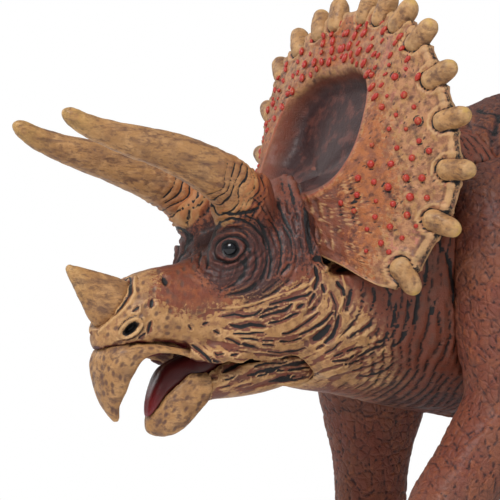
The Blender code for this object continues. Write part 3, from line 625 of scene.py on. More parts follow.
THROAT_CREASES = (
    (1.3, 325, 354, 333, 349, 341, 342),
    (1.7, 350, 338, 356, 333),
    (2.3, 360, 333, 366, 328, 373, 323),
    (1.3, 333, 357, 346, 352, 357, 348, 364, 347),
    (1.2, 332, 362, 346, 360, 359, 354),
    (1.5, 373, 345, 386, 339, 392, 325, 395, 310, 395, 293),
    (1.3, 386, 312, 390, 302, 389, 287),
    (2.0, 373, 287, 375, 301),
    (1.3, 387, 342, 395, 333, 401, 321),
    (1.3, 392, 348, 402, 341, 410, 327),
    (1.4, 401, 295, 402, 310),
    (1.4, 406, 325, 409, 310, 407, 293),
    (2.0, 418, 263, 415, 279, 418, 299, 413, 325),
    (2.1, 427, 246, 428, 266, 425, 287),
    (1.3, 435, 301, 433, 315),
    (1.3, 441, 310, 438, 325),
    (2.2, 439, 240, 450, 260, 453, 280, 455, 302, 462, 318, 464, 333, 461, 348),
    (2.0, 456, 240, 464, 253, 467, 264),
    (1.4, 471, 287, 473, 310, 470, 322),
    (1.2, 345, 365, 362, 360, 376, 352),
    (1.1, 352, 372, 372, 366, 388, 357),
    (1.1, 360, 378, 384, 372, 400, 360),
)
RAISED = (
    # Behind the nose horn, at the mouth's corner, over the ear and along the cheekbone
    (1.8, 135, 277, 135, 293, 130, 303, 121, 313, 110, 323, 98, 333),
    (1.7, 208, 366, 212, 371, 208, 376, 203, 373),
    (2.2, 327, 270, 331, 263, 340, 260, 350, 263, 357, 268),
    (1.6, 222, 308, 240, 307, 258, 303, 272, 297, 296, 290, 310, 284, 316, 276),
    (1.6, 342, 275, 346, 290, 341, 303, 338, 312),
)
BEAK_FLOW = (
    (1.0, 100, 365, 112, 415), (1.0, 112, 362, 122, 412), (1.0, 140, 360, 120, 378),
    (1.0, 150, 354, 196, 358), (1.0, 196, 378, 160, 428),
)
HORN_FLOW = ((1.0, 60, 115, 230, 175), (1.0, 15, 128, 190, 180))
NOSE_FLOW = ((1.0, 85, 290, 110, 300), (1.0, 70, 275, 120, 290))


def pressed_strokes(
    skin: Skin, strokes: Sequence[Stroke], ragged: float = 0.7, depth: float = 0.17
) -> tuple[np.ndarray, np.ndarray, np.ndarray]:
    """Presses strokes of the photograph into a skin.

    Args:
        skin: the skin.
        strokes: half widths and places, in pixels.
        ragged: how far noise moves a stroke's edge, in pixels.
        depth: millimetres of depth for each pixel of half width; below 0 it raises them.

    Returns:
        Heights in metres, a field that is over one half inside the strokes, and the distance
        from the nearest stroke's edge in pixels. The field paints sunken strokes dark, partly as
        painted shade in the creases, and raised strokes light.
    """
    pixels, facing = skin.near()
    pixels = pixels + ragged * np.stack([
        cloud(skin.points, 1.3 * MM, 3), cloud(skin.points, 1.3 * MM, 5)
    ], axis=1)
    heights, ink_and_shade = np.zeros(len(pixels)), np.zeros(len(pixels))
    clear = np.full(len(pixels), 20.0)
    for stroke in strokes:
        half_width, corners = stroke[0], np.array(stroke[1:], float).reshape(-1, 2)
        reach = 5 * half_width + 6
        low, high = corners.min(axis=0) - reach, corners.max(axis=0) + reach
        inside = np.nonzero(((pixels > low) & (pixels < high)).all(axis=1) & (facing > 0))[0]
        if not len(inside):
            continue
        away, passed = path_distance(pixels[inside], corners)
        wide = half_width * (0.45 + 0.55 * np.sqrt(np.clip(6 * passed * (1 - passed), 0, 1)))
        valley = -np.exp(-(away / (1.15 * wide)) ** 2)
        valley += 0.4 * np.exp(-((away - 2.4 * wide) / wide) ** 2)
        here = valley * depth * MM * half_width * facing[inside]
        heights[inside] = np.where(np.abs(here) > np.abs(heights[inside]), here, heights[inside])
        mark = np.clip(1 - away / (1.4 * wide), 0, 1) * np.clip(facing[inside] * 2, 0, 1)
        ink_and_shade[inside] = np.maximum(ink_and_shade[inside], mark)
        clear[inside] = np.minimum(clear[inside], away - wide)
    return heights, ink_and_shade * (0.95 + 0.45 * cloud(skin.points, 1.8 * MM, 6)), clear


def folds(phase: np.ndarray, strength: np.ndarray) -> tuple[np.ndarray, np.ndarray]:
    """Rounded folds with narrow creases between them.

    Args:
        phase: a number that grows by one from each crease to the next.
        strength: how deep they are, from 0 to 1.

    Returns:
        Heights from -1 to 0, and a field that is over one half in the creases, which paints them dark,
        partly as painted shade.
    """
    away = np.abs(phase - np.round(phase)) * 2
    return -((1 - away) ** 2.2) * strength, np.clip(1 - away / 0.46, 0, 1) * strength


# Paint

NODE_WIDTH = 190
NUMBER, VECTOR = "NodeSocketFloat", "NodeSocketVector"
# The sockets of the Mix node that hold its two colours and its result
MIX_FIRST, MIX_SECOND, MIX_RESULT = 6, 7, 2
COAT_ROUGHNESS = 0.25
BUMP_DEPTH = 0.4 * MM
SCALE_PER_METRE = 520.0
HORN_TURN = (0, 0.45, 0)
INK_AND_SHADE_RAGGED = 0.65


class Paint:
    """A node tree that is written from left to right."""

    def __init__(self, tree: bpy.types.NodeTree) -> None:
        """Starts on a tree, in a material or a group."""
        self.tree = tree
        self.column = 0

    def node(self, kind: str, inputs: dict | None = None, **settings: object) -> bpy.types.Node:
        """Adds a node, sets its properties and feeds its inputs."""
        made = self.tree.nodes.new(kind)
        made.location = (self.column * NODE_WIDTH, 0)
        self.column += 1
        for key, value in settings.items():
            setattr(made, key, value)
        self.feed(made, inputs or {})
        return made

    def feed(self, node: bpy.types.Node, inputs: dict) -> None:
        """Links a node's inputs to sockets, or sets them to values."""
        for key, value in inputs.items():
            socket = node.inputs[key]
            if isinstance(value, bpy.types.NodeSocket):
                self.tree.links.new(value, socket)
            elif socket.type == "RGBA":
                socket.default_value = (*value, 1.0)
            else:
                socket.default_value = value

    def place(self) -> bpy.types.NodeSocket:
        """Object coordinates."""
        return self.node("ShaderNodeTexCoord").outputs["Object"]

    def field(self, name: str) -> bpy.types.NodeSocket:
        """A field that the skin carries."""
        return self.node("ShaderNodeAttribute", attribute_name=name).outputs["Fac"]

    def stretched(self, vector: object, scale: tuple, turn: tuple = (0, 0, 0)) -> object:
        """Coordinates turned, then stretched."""
        inputs = {"Vector": vector, "Rotation": turn, "Scale": scale}
        return self.node("ShaderNodeMapping", inputs, vector_type="POINT").outputs["Vector"]

    def noise(self, vector: object, size: float, detail: float = 3.0, rough: float = 0.55) -> object:
        """Noise with lumps of about a size in metres."""
        inputs = {"Vector": vector, "Scale": 1 / size, "Detail": detail, "Roughness": rough}
        return self.node("ShaderNodeTexNoise", inputs).outputs["Fac"]

    def math(self, operation: str, first: object, second: object = 0.0) -> object:
        """One sum."""
        return self.node("ShaderNodeMath", {0: first, 1: second}, operation=operation).outputs[0]

    def step(self, value: object, low: float, high: float, top: float = 1.0) -> object:
        """0 below low, top above high, smooth between."""
        inputs = {"Value": value, "From Min": low, "From Max": high, "To Max": top}
        made = self.node("ShaderNodeMapRange", inputs, interpolation_type="SMOOTHSTEP")
        return made.outputs["Result"]

    def mix(self, share: object, first: object, second: object) -> object:
        """One colour over another."""
        inputs = {"Factor": share, MIX_FIRST: first, MIX_SECOND: second}
        return self.node("ShaderNodeMix", inputs, data_type="RGBA").outputs[MIX_RESULT]

    def blend(self, share: object, first: bpy.types.Node, second: bpy.types.Node) -> object:
        """One shader over another."""
        inputs = {0: share, 1: first.outputs[0], 2: second.outputs[0]}
        return self.node("ShaderNodeMixShader", inputs).outputs[0]

    def rays(self, first: str, second: str) -> object:
        """1 where rays of either kind arrive."""
        path = self.node("ShaderNodeLightPath").outputs
        return self.math("MAXIMUM", path[f"Is {first} Ray"], path[f"Is {second} Ray"])

    def group(self, tree: bpy.types.NodeTree, output: str, **inputs: object) -> object:
        """An output of a shared effect with its own values."""
        fed = {name.title(): value for name, value in inputs.items()}
        return self.node("ShaderNodeGroup", fed, node_tree=tree).outputs[output]


def new_group(name: str, inputs: Sequence[tuple], outputs: Sequence[str]) -> tuple:
    """A shader group with named sockets.

    Args:
        name: the group's name.
        inputs: (name, default) for each number input, which come after the vector.
        outputs: the names of its number outputs.

    Returns:
        A Paint on its tree, its input node's sockets and its output node.
    """
    tree = bpy.data.node_groups.new(name, "ShaderNodeTree")
    tree.interface.new_socket("Vector", in_out="INPUT", socket_type=VECTOR)
    for label, default in inputs:
        socket = tree.interface.new_socket(label, in_out="INPUT", socket_type=NUMBER)
        socket.default_value = default
    for label in outputs:
        tree.interface.new_socket(label, in_out="OUTPUT", socket_type=NUMBER)
    paint = Paint(tree)
    entry = paint.node("NodeGroupInput")
    return paint, entry.outputs, tree.nodes.new("NodeGroupOutput")


def ragged_edge() -> bpy.types.NodeTree:
    """A crisp mask with ragged edges from a smooth field."""
    paint, given, out = new_group("ragged_edge", [("Field", 0.0), ("Amount", 0.25)], ["Mask"])
    rough = paint.noise(given["Vector"], 0.7 * MM, 4.0, 0.65)
    rough = paint.math("MULTIPLY", paint.math("SUBTRACT", rough, 0.5), given["Amount"])
    paint.feed(out, {"Mask": paint.step(paint.math("ADD", given["Field"], rough), 0.36, 0.56)})
    return paint.tree


def mottled() -> bpy.types.NodeTree:
    """Soft blotches."""
    paint, given, out = new_group("mottle", [("Scale", 200.0), ("Share", 0.5)], ["Mask"])
    made = paint.node("ShaderNodeTexNoise", {
        "Vector": given["Vector"], "Scale": given["Scale"], "Detail": 5.0, "Roughness": 0.6,
    })
    lifted = paint.math("ADD", made.outputs["Fac"], given["Share"])
    paint.feed(out, {"Mask": paint.step(lifted, 0.92, 1.12)})
    return paint.tree


def grained() -> bpy.types.NodeTree:
    """The fine unevenness of moulded and painted plastic."""
    paint, given, out = new_group("grain", [("Coarse", 0.5)], ["Height"])
    coarse = paint.math("MULTIPLY", paint.noise(given["Vector"], 1.1 * MM), given["Coarse"])
    fine = paint.noise(given["Vector"], 0.28 * MM, 2.0)
    paint.feed(out, {"Height": paint.math("ADD", coarse, fine)})
    return paint.tree


def crackled() -> bpy.types.NodeTree:
    """Fine cracks between small scales, pulled about by noise."""
    paint, given, out = new_group("crackle", [("Scale", 500.0)], ["Mask", "Height"])
    warp = paint.node("ShaderNodeTexNoise", {"Vector": given["Vector"], "Scale": 300.0})
    pull = (1.6 * MM, 1.6 * MM, 1.6 * MM)
    bend = paint.node("ShaderNodeVectorMath", {
        0: warp.outputs["Color"], 1: pull, 2: given["Vector"],
    }, operation="MULTIPLY_ADD")
    cells = paint.node("ShaderNodeTexVoronoi", {
        "Vector": bend.outputs["Vector"], "Scale": given["Scale"],
    }, feature="DISTANCE_TO_EDGE")
    away = cells.outputs["Distance"]
    line = paint.math("SUBTRACT", 1.0, paint.step(away, 0.0, 0.08))
    paint.feed(out, {"Mask": line, "Height": paint.step(away, 0.0, 0.22)})
    return paint.tree


@dataclass(frozen=True)
class Palette:
    """The paints, as linear colours."""

    tan: Colour = (0.55, 0.30, 0.125)
    ochre: Colour = (0.44, 0.225, 0.085)
    yellow: Colour = (0.64, 0.40, 0.10)
    clay: Colour = (0.20, 0.070, 0.044)
    rust: Colour = (0.20, 0.052, 0.027)
    brick: Colour = (0.190, 0.052, 0.034)
    orange: Colour = (0.42, 0.125, 0.036)
    plum: Colour = (0.042, 0.016, 0.016)
    dusk: Colour = (0.130, 0.042, 0.032)
    # near black for the creases and grooves, partly painted shade
    ink_and_shade: Colour = (0.008, 0.007, 0.008)
    brown: Colour = (0.12, 0.056, 0.040)
    peach: Colour = (0.50, 0.24, 0.115)
    red: Colour = (0.44, 0.032, 0.020)
    pink: Colour = (0.52, 0.17, 0.14)
    # light paint on the ridges, partly dry-brushed paint and partly painted highlight
    bright: Colour = (0.70, 0.43, 0.20)
    gore: Colour = (0.075, 0.008, 0.008)
    throat: Colour = (0.03, 0.003, 0.004)
    wet: Colour = (0.25, 0.012, 0.02)
    night: Colour = (0.006, 0.006, 0.008)
    slate: Colour = (0.016, 0.018, 0.024)
    grey: Colour = (0.42, 0.42, 0.42)
    ash: Colour = (0.5, 0.5, 0.5)
    steel: Colour = (0.66, 0.66, 0.66)


COLOURS = Palette()


class Coat:
    """The paint of one finish, whose layers lie over one another."""

    def __init__(self, effects: dict[str, bpy.types.NodeTree], paint: Paint) -> None:
        """Starts bare."""
        self.effects, self.paint = effects, paint
        self.place = paint.place()
        self.colour: object = COLOURS.ink_and_shade

    def along(self, length: float) -> object:
        """The place, turned with the horns and shrunk along them."""
        return self.paint.stretched(self.place, (length, 1.0, 1.0), HORN_TURN)

    def effect(self, name: str, output: str, place: object = None, **inputs: object) -> object:
        """An output of a shared effect."""
        where = self.place if place is None else place
        return self.paint.group(self.effects[name], output, vector=where, **inputs)

    def blotches(self, scale: float, share: float, place: object = None) -> object:
        """Soft blotches of a scale, which cover more with a larger share."""
        return self.effect("mottle", "Mask", place, scale=scale, share=share)

    def edged(self, field: str, amount: float) -> object:
        """A field's mask with ragged edges."""
        return self.effect("ragged", "Mask", field=self.paint.field(field), amount=amount)

    def stepped(self, field: str, low: float, high: float, top: float = 1.0) -> object:
        """A field's mask with soft edges."""
        return self.paint.step(self.paint.field(field), low, high, top)

    def mixed(self, first: Colour, second: Colour, scale: float, share: float) -> object:
        """Two paints in soft blotches."""
        return self.paint.mix(self.blotches(scale, share), first, second)

    def over(self, layer: object, *shares: object) -> None:
        """Lays a layer over the rest, as thick as the product of its shares."""
        share = shares[0]
        for other in shares[1:]:
            share = self.paint.math("MULTIPLY", share, other)
        self.colour = self.paint.mix(share, self.colour, layer)

    def wash_and_shade(self, dark: Colour, low: float, top: float) -> None:
        """Dark paint, thin in the hollows and thick in the creases: partly the figure's own washed-in
        paint, partly painted shade.
        """
        self.over(dark, self.stepped("pit", low, 0.9, top))
        self.over(COLOURS.ink_and_shade, self.edged("ink_and_shade", INK_AND_SHADE_RAGGED))


def skin_relief(coat: Coat) -> object:
    """The grain of a painted skin."""
    return coat.effect("grain", "Height", coarse=0.9)


def horn_relief(coat: Coat) -> object:
    """Grain with long fine scratches along a horn."""
    grain = skin_relief(coat)
    long = coat.paint.noise(coat.along(0.22), 0.55 * MM)
    return coat.paint.math("ADD", coat.paint.math("MULTIPLY", long, 1.6), grain)


def hide_relief(coat: Coat) -> object:
    """Fine scales with cracks between them."""
    crackle = coat.effect("crackle", "Height", scale=SCALE_PER_METRE)
    return coat.paint.math("ADD", skin_relief(coat), coat.paint.math("MULTIPLY", crackle, 0.9))


def horn_colour(coat: Coat) -> None:
    """Ochre with brown flecks and yellow, worn tips."""
    coat.colour = coat.mixed(COLOURS.ochre, COLOURS.tan, 300.0, 0.5)
    coat.over(COLOURS.brown, coat.blotches(900.0, 0.42, coat.along(0.5)), 0.75)
    coat.over(COLOURS.brown, coat.blotches(640.0, 0.44, coat.along(0.16)), 0.7)
    coat.over(COLOURS.brown, coat.blotches(210.0, 0.46), 0.4)
    # lighter paint on the ridges, partly painted highlight
    coat.over(COLOURS.bright, coat.stepped("peak", 0.2, 0.9, 0.55))
    coat.over(COLOURS.brown, coat.stepped("fleck", 0.1, 0.8, 0.85))
    coat.over(COLOURS.yellow, coat.paint.field("tip"), coat.blotches(600.0, 0.6))
    coat.over(COLOURS.orange, coat.paint.field("root"), coat.blotches(260.0, 0.6))
    coat.over(COLOURS.gore, coat.paint.field("mouth"))
    coat.wash_and_shade(COLOURS.brown, 0.2, 0.7)


def face_colour(coat: Coat) -> None:
    """Tan ridges over clay on snout and cheek, rust above, plum round the eye."""
    light = coat.mixed(COLOURS.ochre, COLOURS.tan, 420.0, 0.5)
    coat.colour = coat.mixed(COLOURS.clay, COLOURS.rust, 330.0, 0.5)
    coat.over(light, coat.edged("ridge", 0.7))
    coat.over(COLOURS.brown, coat.blotches(360.0, 0.46), 0.5)
    coat.over(COLOURS.clay, coat.blotches(900.0, 0.44), 0.6)
    lower = coat.colour
    coat.colour = coat.mixed(COLOURS.rust, COLOURS.clay, 240.0, 0.45)
    coat.over(COLOURS.orange, coat.paint.field("orange"), coat.blotches(480.0, 0.5), 0.8)
    coat.over(COLOURS.brown, coat.blotches(560.0, 0.44), 0.6)
    # the plum turns lighter on the ridges, partly as painted highlight
    dark = coat.paint.mix(coat.stepped("peak", 0.15, 0.75), COLOURS.plum, COLOURS.dusk)
    # plum patches round the eye and elsewhere, and painted shade under the neck
    coat.over(dark, coat.edged("dark", 1.4), 0.9)
    coat.over(lower, coat.edged("tan", 1.5))
    coat.over(COLOURS.brown, coat.stepped("fleck", 0.1, 0.8, 0.85))
    coat.over(light, coat.edged("gold", 0.4), 0.9)
    # lighter paint on the ridges of the tan skin, partly painted highlight
    coat.over(COLOURS.bright, coat.stepped("peak", 0.15, 0.8), coat.paint.field("tan"), 0.7)
    coat.over(COLOURS.gore, coat.paint.field("mouth"))
    # orange on the ridges of the horn collars only, partly painted highlight
    coat.over(COLOURS.orange, coat.paint.field("warm"), coat.stepped("peak", 0.1, 0.6, 0.8))
    coat.wash_and_shade(COLOURS.ink_and_shade, 0.25, 0.85)


def hide_colour(coat: Coat) -> None:
    """Brick red and cracked, with dark paint in the hollows that is partly painted shade, plum underneath
    as painted shade and plum along the back.
    """
    coat.colour = coat.mixed(COLOURS.brick, COLOURS.clay, 120.0, 0.5)
    coat.over(COLOURS.orange, coat.paint.field("tone"), 0.16)
    # plum as painted shade underneath, and along the back
    coat.over(COLOURS.plum, coat.paint.field("under"), 0.85)
    crackle = coat.effect("crackle", "Mask", scale=SCALE_PER_METRE)
    coat.over(COLOURS.plum, crackle, coat.blotches(260.0, 0.5), 0.5)
    # orange on the ridges, partly painted highlight
    coat.over(COLOURS.orange, coat.stepped("peak", 0.2, 0.9), 0.3)
    coat.wash_and_shade(COLOURS.plum, 0.10, 0.9)


def frill_colour(coat: Coat) -> None:
    """Peach margin with blotches, an orange ridge and a dark bowl."""
    coat.colour = coat.mixed(COLOURS.peach, COLOURS.ochre, 520.0, 0.5)
    coat.over(COLOURS.pink, coat.edged("blush", 1.6), 0.6)
    coat.over(COLOURS.orange, coat.edged("orange", 1.6), 0.85)
    coat.over(COLOURS.rust, coat.edged("low", 1.5), 0.9)
    coat.over(COLOURS.clay, coat.blotches(700.0, 0.50), 0.65)
    coat.over(COLOURS.plum, coat.blotches(420.0, 0.40), 0.8)
    wall = coat.mixed(COLOURS.rust, COLOURS.clay, 260.0, 0.5)
    coat.over(wall, coat.stepped("dish", 0.05, 0.4))
    floor = coat.mixed(COLOURS.plum, COLOURS.dusk, 300.0, 0.45)
    coat.over(floor, coat.stepped("dish", 0.35, 0.95))
    coat.over(COLOURS.ink_and_shade, coat.edged("fleck", 0.7), 0.8)
    # lighter paint on the ridges, partly painted highlight
    coat.over(COLOURS.bright, coat.stepped("peak", 0.3, 0.9, 0.5))
    coat.over(COLOURS.red, coat.paint.field("line"))
    coat.wash_and_shade(COLOURS.brown, 0.2, 0.6)


def bump_colour(coat: Coat) -> None:
    """Bright red, with orange in blotches on a few."""
    coat.colour = coat.mixed(COLOURS.red, COLOURS.orange, 700.0, 0.4)


def tongue_colour(coat: Coat) -> None:
    """Dark wet red, brighter towards the tip."""
    coat.colour = coat.mixed(COLOURS.gore, COLOURS.throat, 180.0, 0.45)
    coat.over(COLOURS.wet, coat.paint.field("tip"))


def eye_colour(coat: Coat) -> None:
    """Near black with a hint of blue."""
    coat.colour = coat.mixed(COLOURS.night, COLOURS.slate, 600.0, 0.5)


def plug_colour(coat: Coat) -> None:
    """Plain grey plastic."""
    coat.colour = coat.mixed(COLOURS.grey, COLOURS.ash, 150.0, 0.5)


def steel_colour(coat: Coat) -> None:
    """Drawn steel."""
    drawn = coat.paint.noise(coat.paint.stretched(coat.place, (1.0, 0.05, 1.0)), 0.2 * MM)
    coat.colour = coat.paint.mix(drawn, COLOURS.ash, COLOURS.steel)


@dataclass(frozen=True)
class Finish:
    """A paint's recipes and the shader's own values."""

    name: str
    colour: Callable[[Coat], None]
    relief: Callable[[Coat], object] | None
    roughness: float
    coat: float = 0.0
    bump: float = 0.35
    metallic: float = 0.0
    specular: float = 0.32

    def build(self, effects: dict[str, bpy.types.NodeTree]) -> bpy.types.Material:
        """Makes the material from the shared effects."""
        made = bpy.data.materials.new(self.name)
        made.use_nodes = True
        shader = made.node_tree.nodes["Principled BSDF"]
        coat = Coat(effects, Paint(made.node_tree))
        self.colour(coat)
        coat.paint.feed(shader, {
            "Base Color": coat.colour, "Roughness": self.roughness, "Metallic": self.metallic,
            "Specular IOR Level": self.specular, "Coat Weight": self.coat,
            "Coat Roughness": COAT_ROUGHNESS,
        })
        if self.relief:
            bump = coat.paint.node("ShaderNodeBump", {
                "Strength": self.bump, "Distance": BUMP_DEPTH, "Height": self.relief(coat),
            })
            coat.paint.feed(shader, {"Normal": bump.outputs["Normal"]})
        shader.location.x = coat.paint.column * NODE_WIDTH
        made.node_tree.nodes["Material Output"].location.x = (coat.paint.column + 2) * NODE_WIDTH
        return made


class Finishes:
    """Every finish of the figure."""

    def __init__(self) -> None:
        """Builds the effects once, then the finishes that share them."""
        effects = {
            "ragged": ragged_edge(), "mottle": mottled(), "grain": grained(),
            "crackle": crackled(),
        }
        self.horn = Finish("horn_paint", horn_colour, horn_relief, 0.5, 0.12, 0.45).build(effects)
        self.face = Finish("face_paint", face_colour, skin_relief, 0.46, 0.12, 0.5).build(effects)
        self.hide = Finish("hide_paint", hide_colour, hide_relief, 0.52, 0.08, 0.6).build(effects)
        self.frill = Finish("frill_paint", frill_colour, skin_relief, 0.48, 0.1, 0.6).build(effects)
        self.bump = Finish("bump_paint", bump_colour, skin_relief, 0.38, 0.3, 0.3).build(effects)
        wet = Finish("tongue_paint", tongue_colour, skin_relief, 0.3, 0.35, 0.25)
        self.tongue = wet.build(effects)
        self.eye = Finish("eye_paint", eye_colour, None, 0.08, specular=0.45).build(effects)
        plain = Finish("plug_plastic", plug_colour, skin_relief, 0.55, 0.0, 0.3)
        self.plug = plain.build(effects)
        drawn = Finish("pin_steel", steel_colour, skin_relief, 0.3, 0.0, 0.15, 1.0)
        self.steel = drawn.build(effects)


def fields_of(skin: Skin, *names: str) -> None:
    """Gives a skin fields of zero for its finish."""
    for name in names:
        skin.fields.setdefault(name, np.zeros(len(skin.points)))


# Head

EYE_PX = (230.5, 249.0)
HORN_FOOT = (-0.0868, 0.0098, 0.0868)
HORN_WAY = (-0.905, 0.03, 0.424)


@dataclass
class Head:
    """Face, cheeks and neck, which one skin covers."""

    voxel: float = 0.65 * MM
    grow: float = 0.22 * MM
    neck_lap: float = 2.2 * MM
    shoulder: float = -0.027
    neck_front: float = -0.064
    fold_step: float = 2.0 * MM
    collar_reach: float = 3.8 * MM
    collar_step: float = 1.7 * MM
    collar_grow: float = 0.75 * MM
    nostril_px: tuple[float, float] = (130.8, 328.6)
    nostril_half_px: tuple[float, float] = (9.0, 4.1)
    nostril_tilt_deg: float = 39.0
    corner_lumps: tuple = (
        # place and half sizes of the flesh at the mouth's corner
        ((-0.0962, 0.0080, 0.0529), (2.6 * MM, 1.1 * MM, 1.7 * MM)),
        ((-0.0928, 0.0094, 0.0526), (3.0 * MM, 1.1 * MM, 2.0 * MM)),
        ((-0.0886, 0.0108, 0.0528), (3.2 * MM, 1.1 * MM, 1.8 * MM)),
    )
    fine_boxes: tuple = ((186, 200, 346, 374), (88, 262, 190, 374))
    tan_line: tuple = (
        (60, 240), (128, 262), (150, 300), (190, 318), (222, 306), (262, 298), (312, 280),
        (330, 268), (352, 300), (372, 312), (395, 345), (420, 388), (500, 430),
    )
    dark_spots: tuple = ((240, 254, 40, 40, 1.0), (298, 234, 42, 44, 0.6), (258, 290, 40, 15, 0.75))

    def build(self, finishes: Finishes) -> Skin:
        """Sculpts and paints the skin and makes it a piece."""
        neck = solid_copy("head")
        for vert in neck.verts:
            if vert.co.x > self.shoulder - 0.8 * MM:
                vert.co.x += self.neck_lap
        parts = [neck]
        for side, name in ((-1, "left"), (1, "right")):
            parts += [solid_copy("eye_" + name), self.horn_root(side, name)]
            for place, size in self.corner_lumps:
                parts.append(lump(Vector(place) * Vector((1, side, 1)), size))
        skin = Skin.over(joined(parts), self.voxel, 8, self.grow)
        pixels, facing = skin.near()
        fine = np.zeros(len(pixels), bool)
        for left, top, right, bottom in self.fine_boxes:
            fine |= ((pixels > (left, top)) & (pixels < (right, bottom))).all(axis=1)
        skin.refine(fine & (facing > 0.45) & (skin.points[:, 0] < self.neck_front))
        self.sculpt(skin)
        self.zones(skin)
        skin.finished("head_skin", Body.FIGURE, Slot.HEAD, finishes.face, ["head"])
        return skin

    def horn_root(self, side: int, name: str) -> bmesh.types.BMesh:
        """The root of a brow horn, a little fatter, which the brow's skin covers."""
        bm = solid_copy("brow_horn_" + name)
        way = Vector(HORN_WAY) * Vector((1, side, 1))
        place = Vector(HORN_FOOT) * Vector((1, side, 1)) + way * self.collar_reach
        cut = bmesh.ops.bisect_plane(
            bm, geom=bm.verts[:] + bm.edges[:] + bm.faces[:], dist=0.000001,
            plane_co=place, plane_no=way, clear_outer=True)
        rim = [item for item in cut["geom_cut"] if isinstance(item, bmesh.types.BMEdge)]
        bmesh.ops.holes_fill(bm, edges=rim, sides=0)
        bm.normal_update()
        moves = []
        for vert in bm.verts:
            behind = (place - vert.co).dot(way) / (4 * MM)
            moves.append(vert.normal * self.collar_grow * min(1.0, 0.35 + behind))
        for vert, move in zip(bm.verts, moves):
            vert.co += move
        return bm

    def sculpt(self, skin: Skin) -> None:
        """Presses in the creases, hollows, folds, nostrils and lids."""
        # dark paint in the pressed creases, streaks and brow grooves, partly painted shade in them
        heights, ink_and_shade, clear = pressed_strokes(skin, FACE_CREASES + THROAT_CREASES)
        hood, hood_ink_and_shade, _ = pressed_strokes(skin, HOOD_CREASES)
        heights, ink_and_shade = heights + hood, np.maximum(ink_and_shade, 0.45 * hood_ink_and_shade)
        raised, gold, _ = pressed_strokes(skin, RAISED, 0.4, -0.16)
        pixels, facing = skin.near()
        across, down = pixels.T
        neck = eased(skin.points[:, 0], self.neck_front, self.neck_front + 0.012)
        open_skin = eased(clear, 0.0, 2.0) * facing * (1 - 0.5 * neck)
        flow = Flow(FACE_CREASES + THROAT_CREASES + HOOD_CREASES)
        muzzle = 1 - eased(across + 0.4 * (down - 320), 185, 222)
        wrinkled = open_skin * (1 - 0.85 * muzzle)
        coarse, fine = streaks(pixels, flow, 4.6, 30, 61), streaks(pixels, flow, 2.7, 14, 71)
        deep = eased(coarse, 0.1, 1.4) * wrinkled
        thin = eased(fine, 0.2, 1.3) * wrinkled
        dents, name = hollows_along(pixels, flow, 10.0, 1.4, 81)
        dents = dents * muzzle * open_skin * eased(name, 0.3, 0.7)
        heights -= (0.40 * deep + 0.17 * thin + 0.12 * dents) * MM
        ink_and_shade = np.maximum(ink_and_shade, 0.8 * deep * eased(coarse, 0.9, 1.9))
        skin.fields["fleck"] = 0.9 * dents
        brow = (1 - eased(across, 206, 226)) * (1 - eased(down, 244, 268)) * (1 - neck)
        groove = eased(clouds(skin.points * [2.0, 2.0, 0.6], 2.8 * MM, 62), 0.05, 0.7) * brow
        heights -= 0.45 * MM * groove
        ink_and_shade = np.maximum(ink_and_shade, 0.7 * groove * eased(groove, 0.5, 1))
        cheek = (1 - eased(down, 310, 334)) * (1 - muzzle)
        # less tan in the streaks and beside the creases, partly as painted shade, and on the neck and lower
        # cheek
        halo = hill(np.maximum(clear, 0), 0, 2.4) * facing
        skin.fields["ridge"] = 1 - np.clip(
            0.95 * deep + 0.75 * thin + 0.6 * halo + 0.3 * neck + 0.16 * cheek, 0, 1)

        eye_away = np.hypot(across - EYE_PX[0], (down - EYE_PX[1]) * 1.05)
        slanted = across - EYE_PX[0] + 0.3 * (down - EYE_PX[1])
        ring = np.hypot(0.86 * slanted, (down - EYE_PX[1]) * 1.12)
        ring += 2.4 * clouds(skin.points, 2.6 * MM, 21) * eased(ring, 5, 12)
        lids = folds(ring / 6.3 + 0.35, eased(ring, 15, 18) * (1 - eased(ring, 30, 50)))
        heights += 0.26 * MM * lids[0] * facing
        heights -= 1.8 * MM * (1 - eased(eye_away, 5.2, 8.6)) * facing
        heights += (0.50 * hill(ring, 10.3, 2.0) - 0.50 * hill(ring, 14.0, 1.7)
                    + 0.42 * hill(ring, 17.6, 2.2)) * MM * facing
        # dark paint in the lid crease, heavier above the eye, and round the eyeball: partly painted shade
        upper = eased(-(down - EYE_PX[1]) + 0.3 * (across - EYE_PX[0]), -6, 6)
        ink_and_shade = np.maximum(ink_and_shade, facing * (
            hill(ring, 13.8, 1.9) * (0.45 + 0.55 * upper) + 0.8 * hill(eye_away, 7.6, 1.8)))
        ink_and_shade = np.maximum(ink_and_shade, 0.42 * lids[1] * facing)

        for values in (self.collar(skin), self.neck(skin, neck), self.nostril(pixels, facing)):
            heights += values[0]
            ink_and_shade = np.maximum(ink_and_shade, values[1])
        heights += 0.05 * MM * clouds(skin.points, 1.6 * MM, 31)
        heights += 0.22 * MM * clouds(skin.points, 6 * MM, 12)
        skin.push(heights + raised)
        skin.fields["ink_and_shade"] = ink_and_shade
        skin.fields["gold"] = np.maximum(gold, skin.fields["gold"])
        skin.shade_and_highlight_fields()

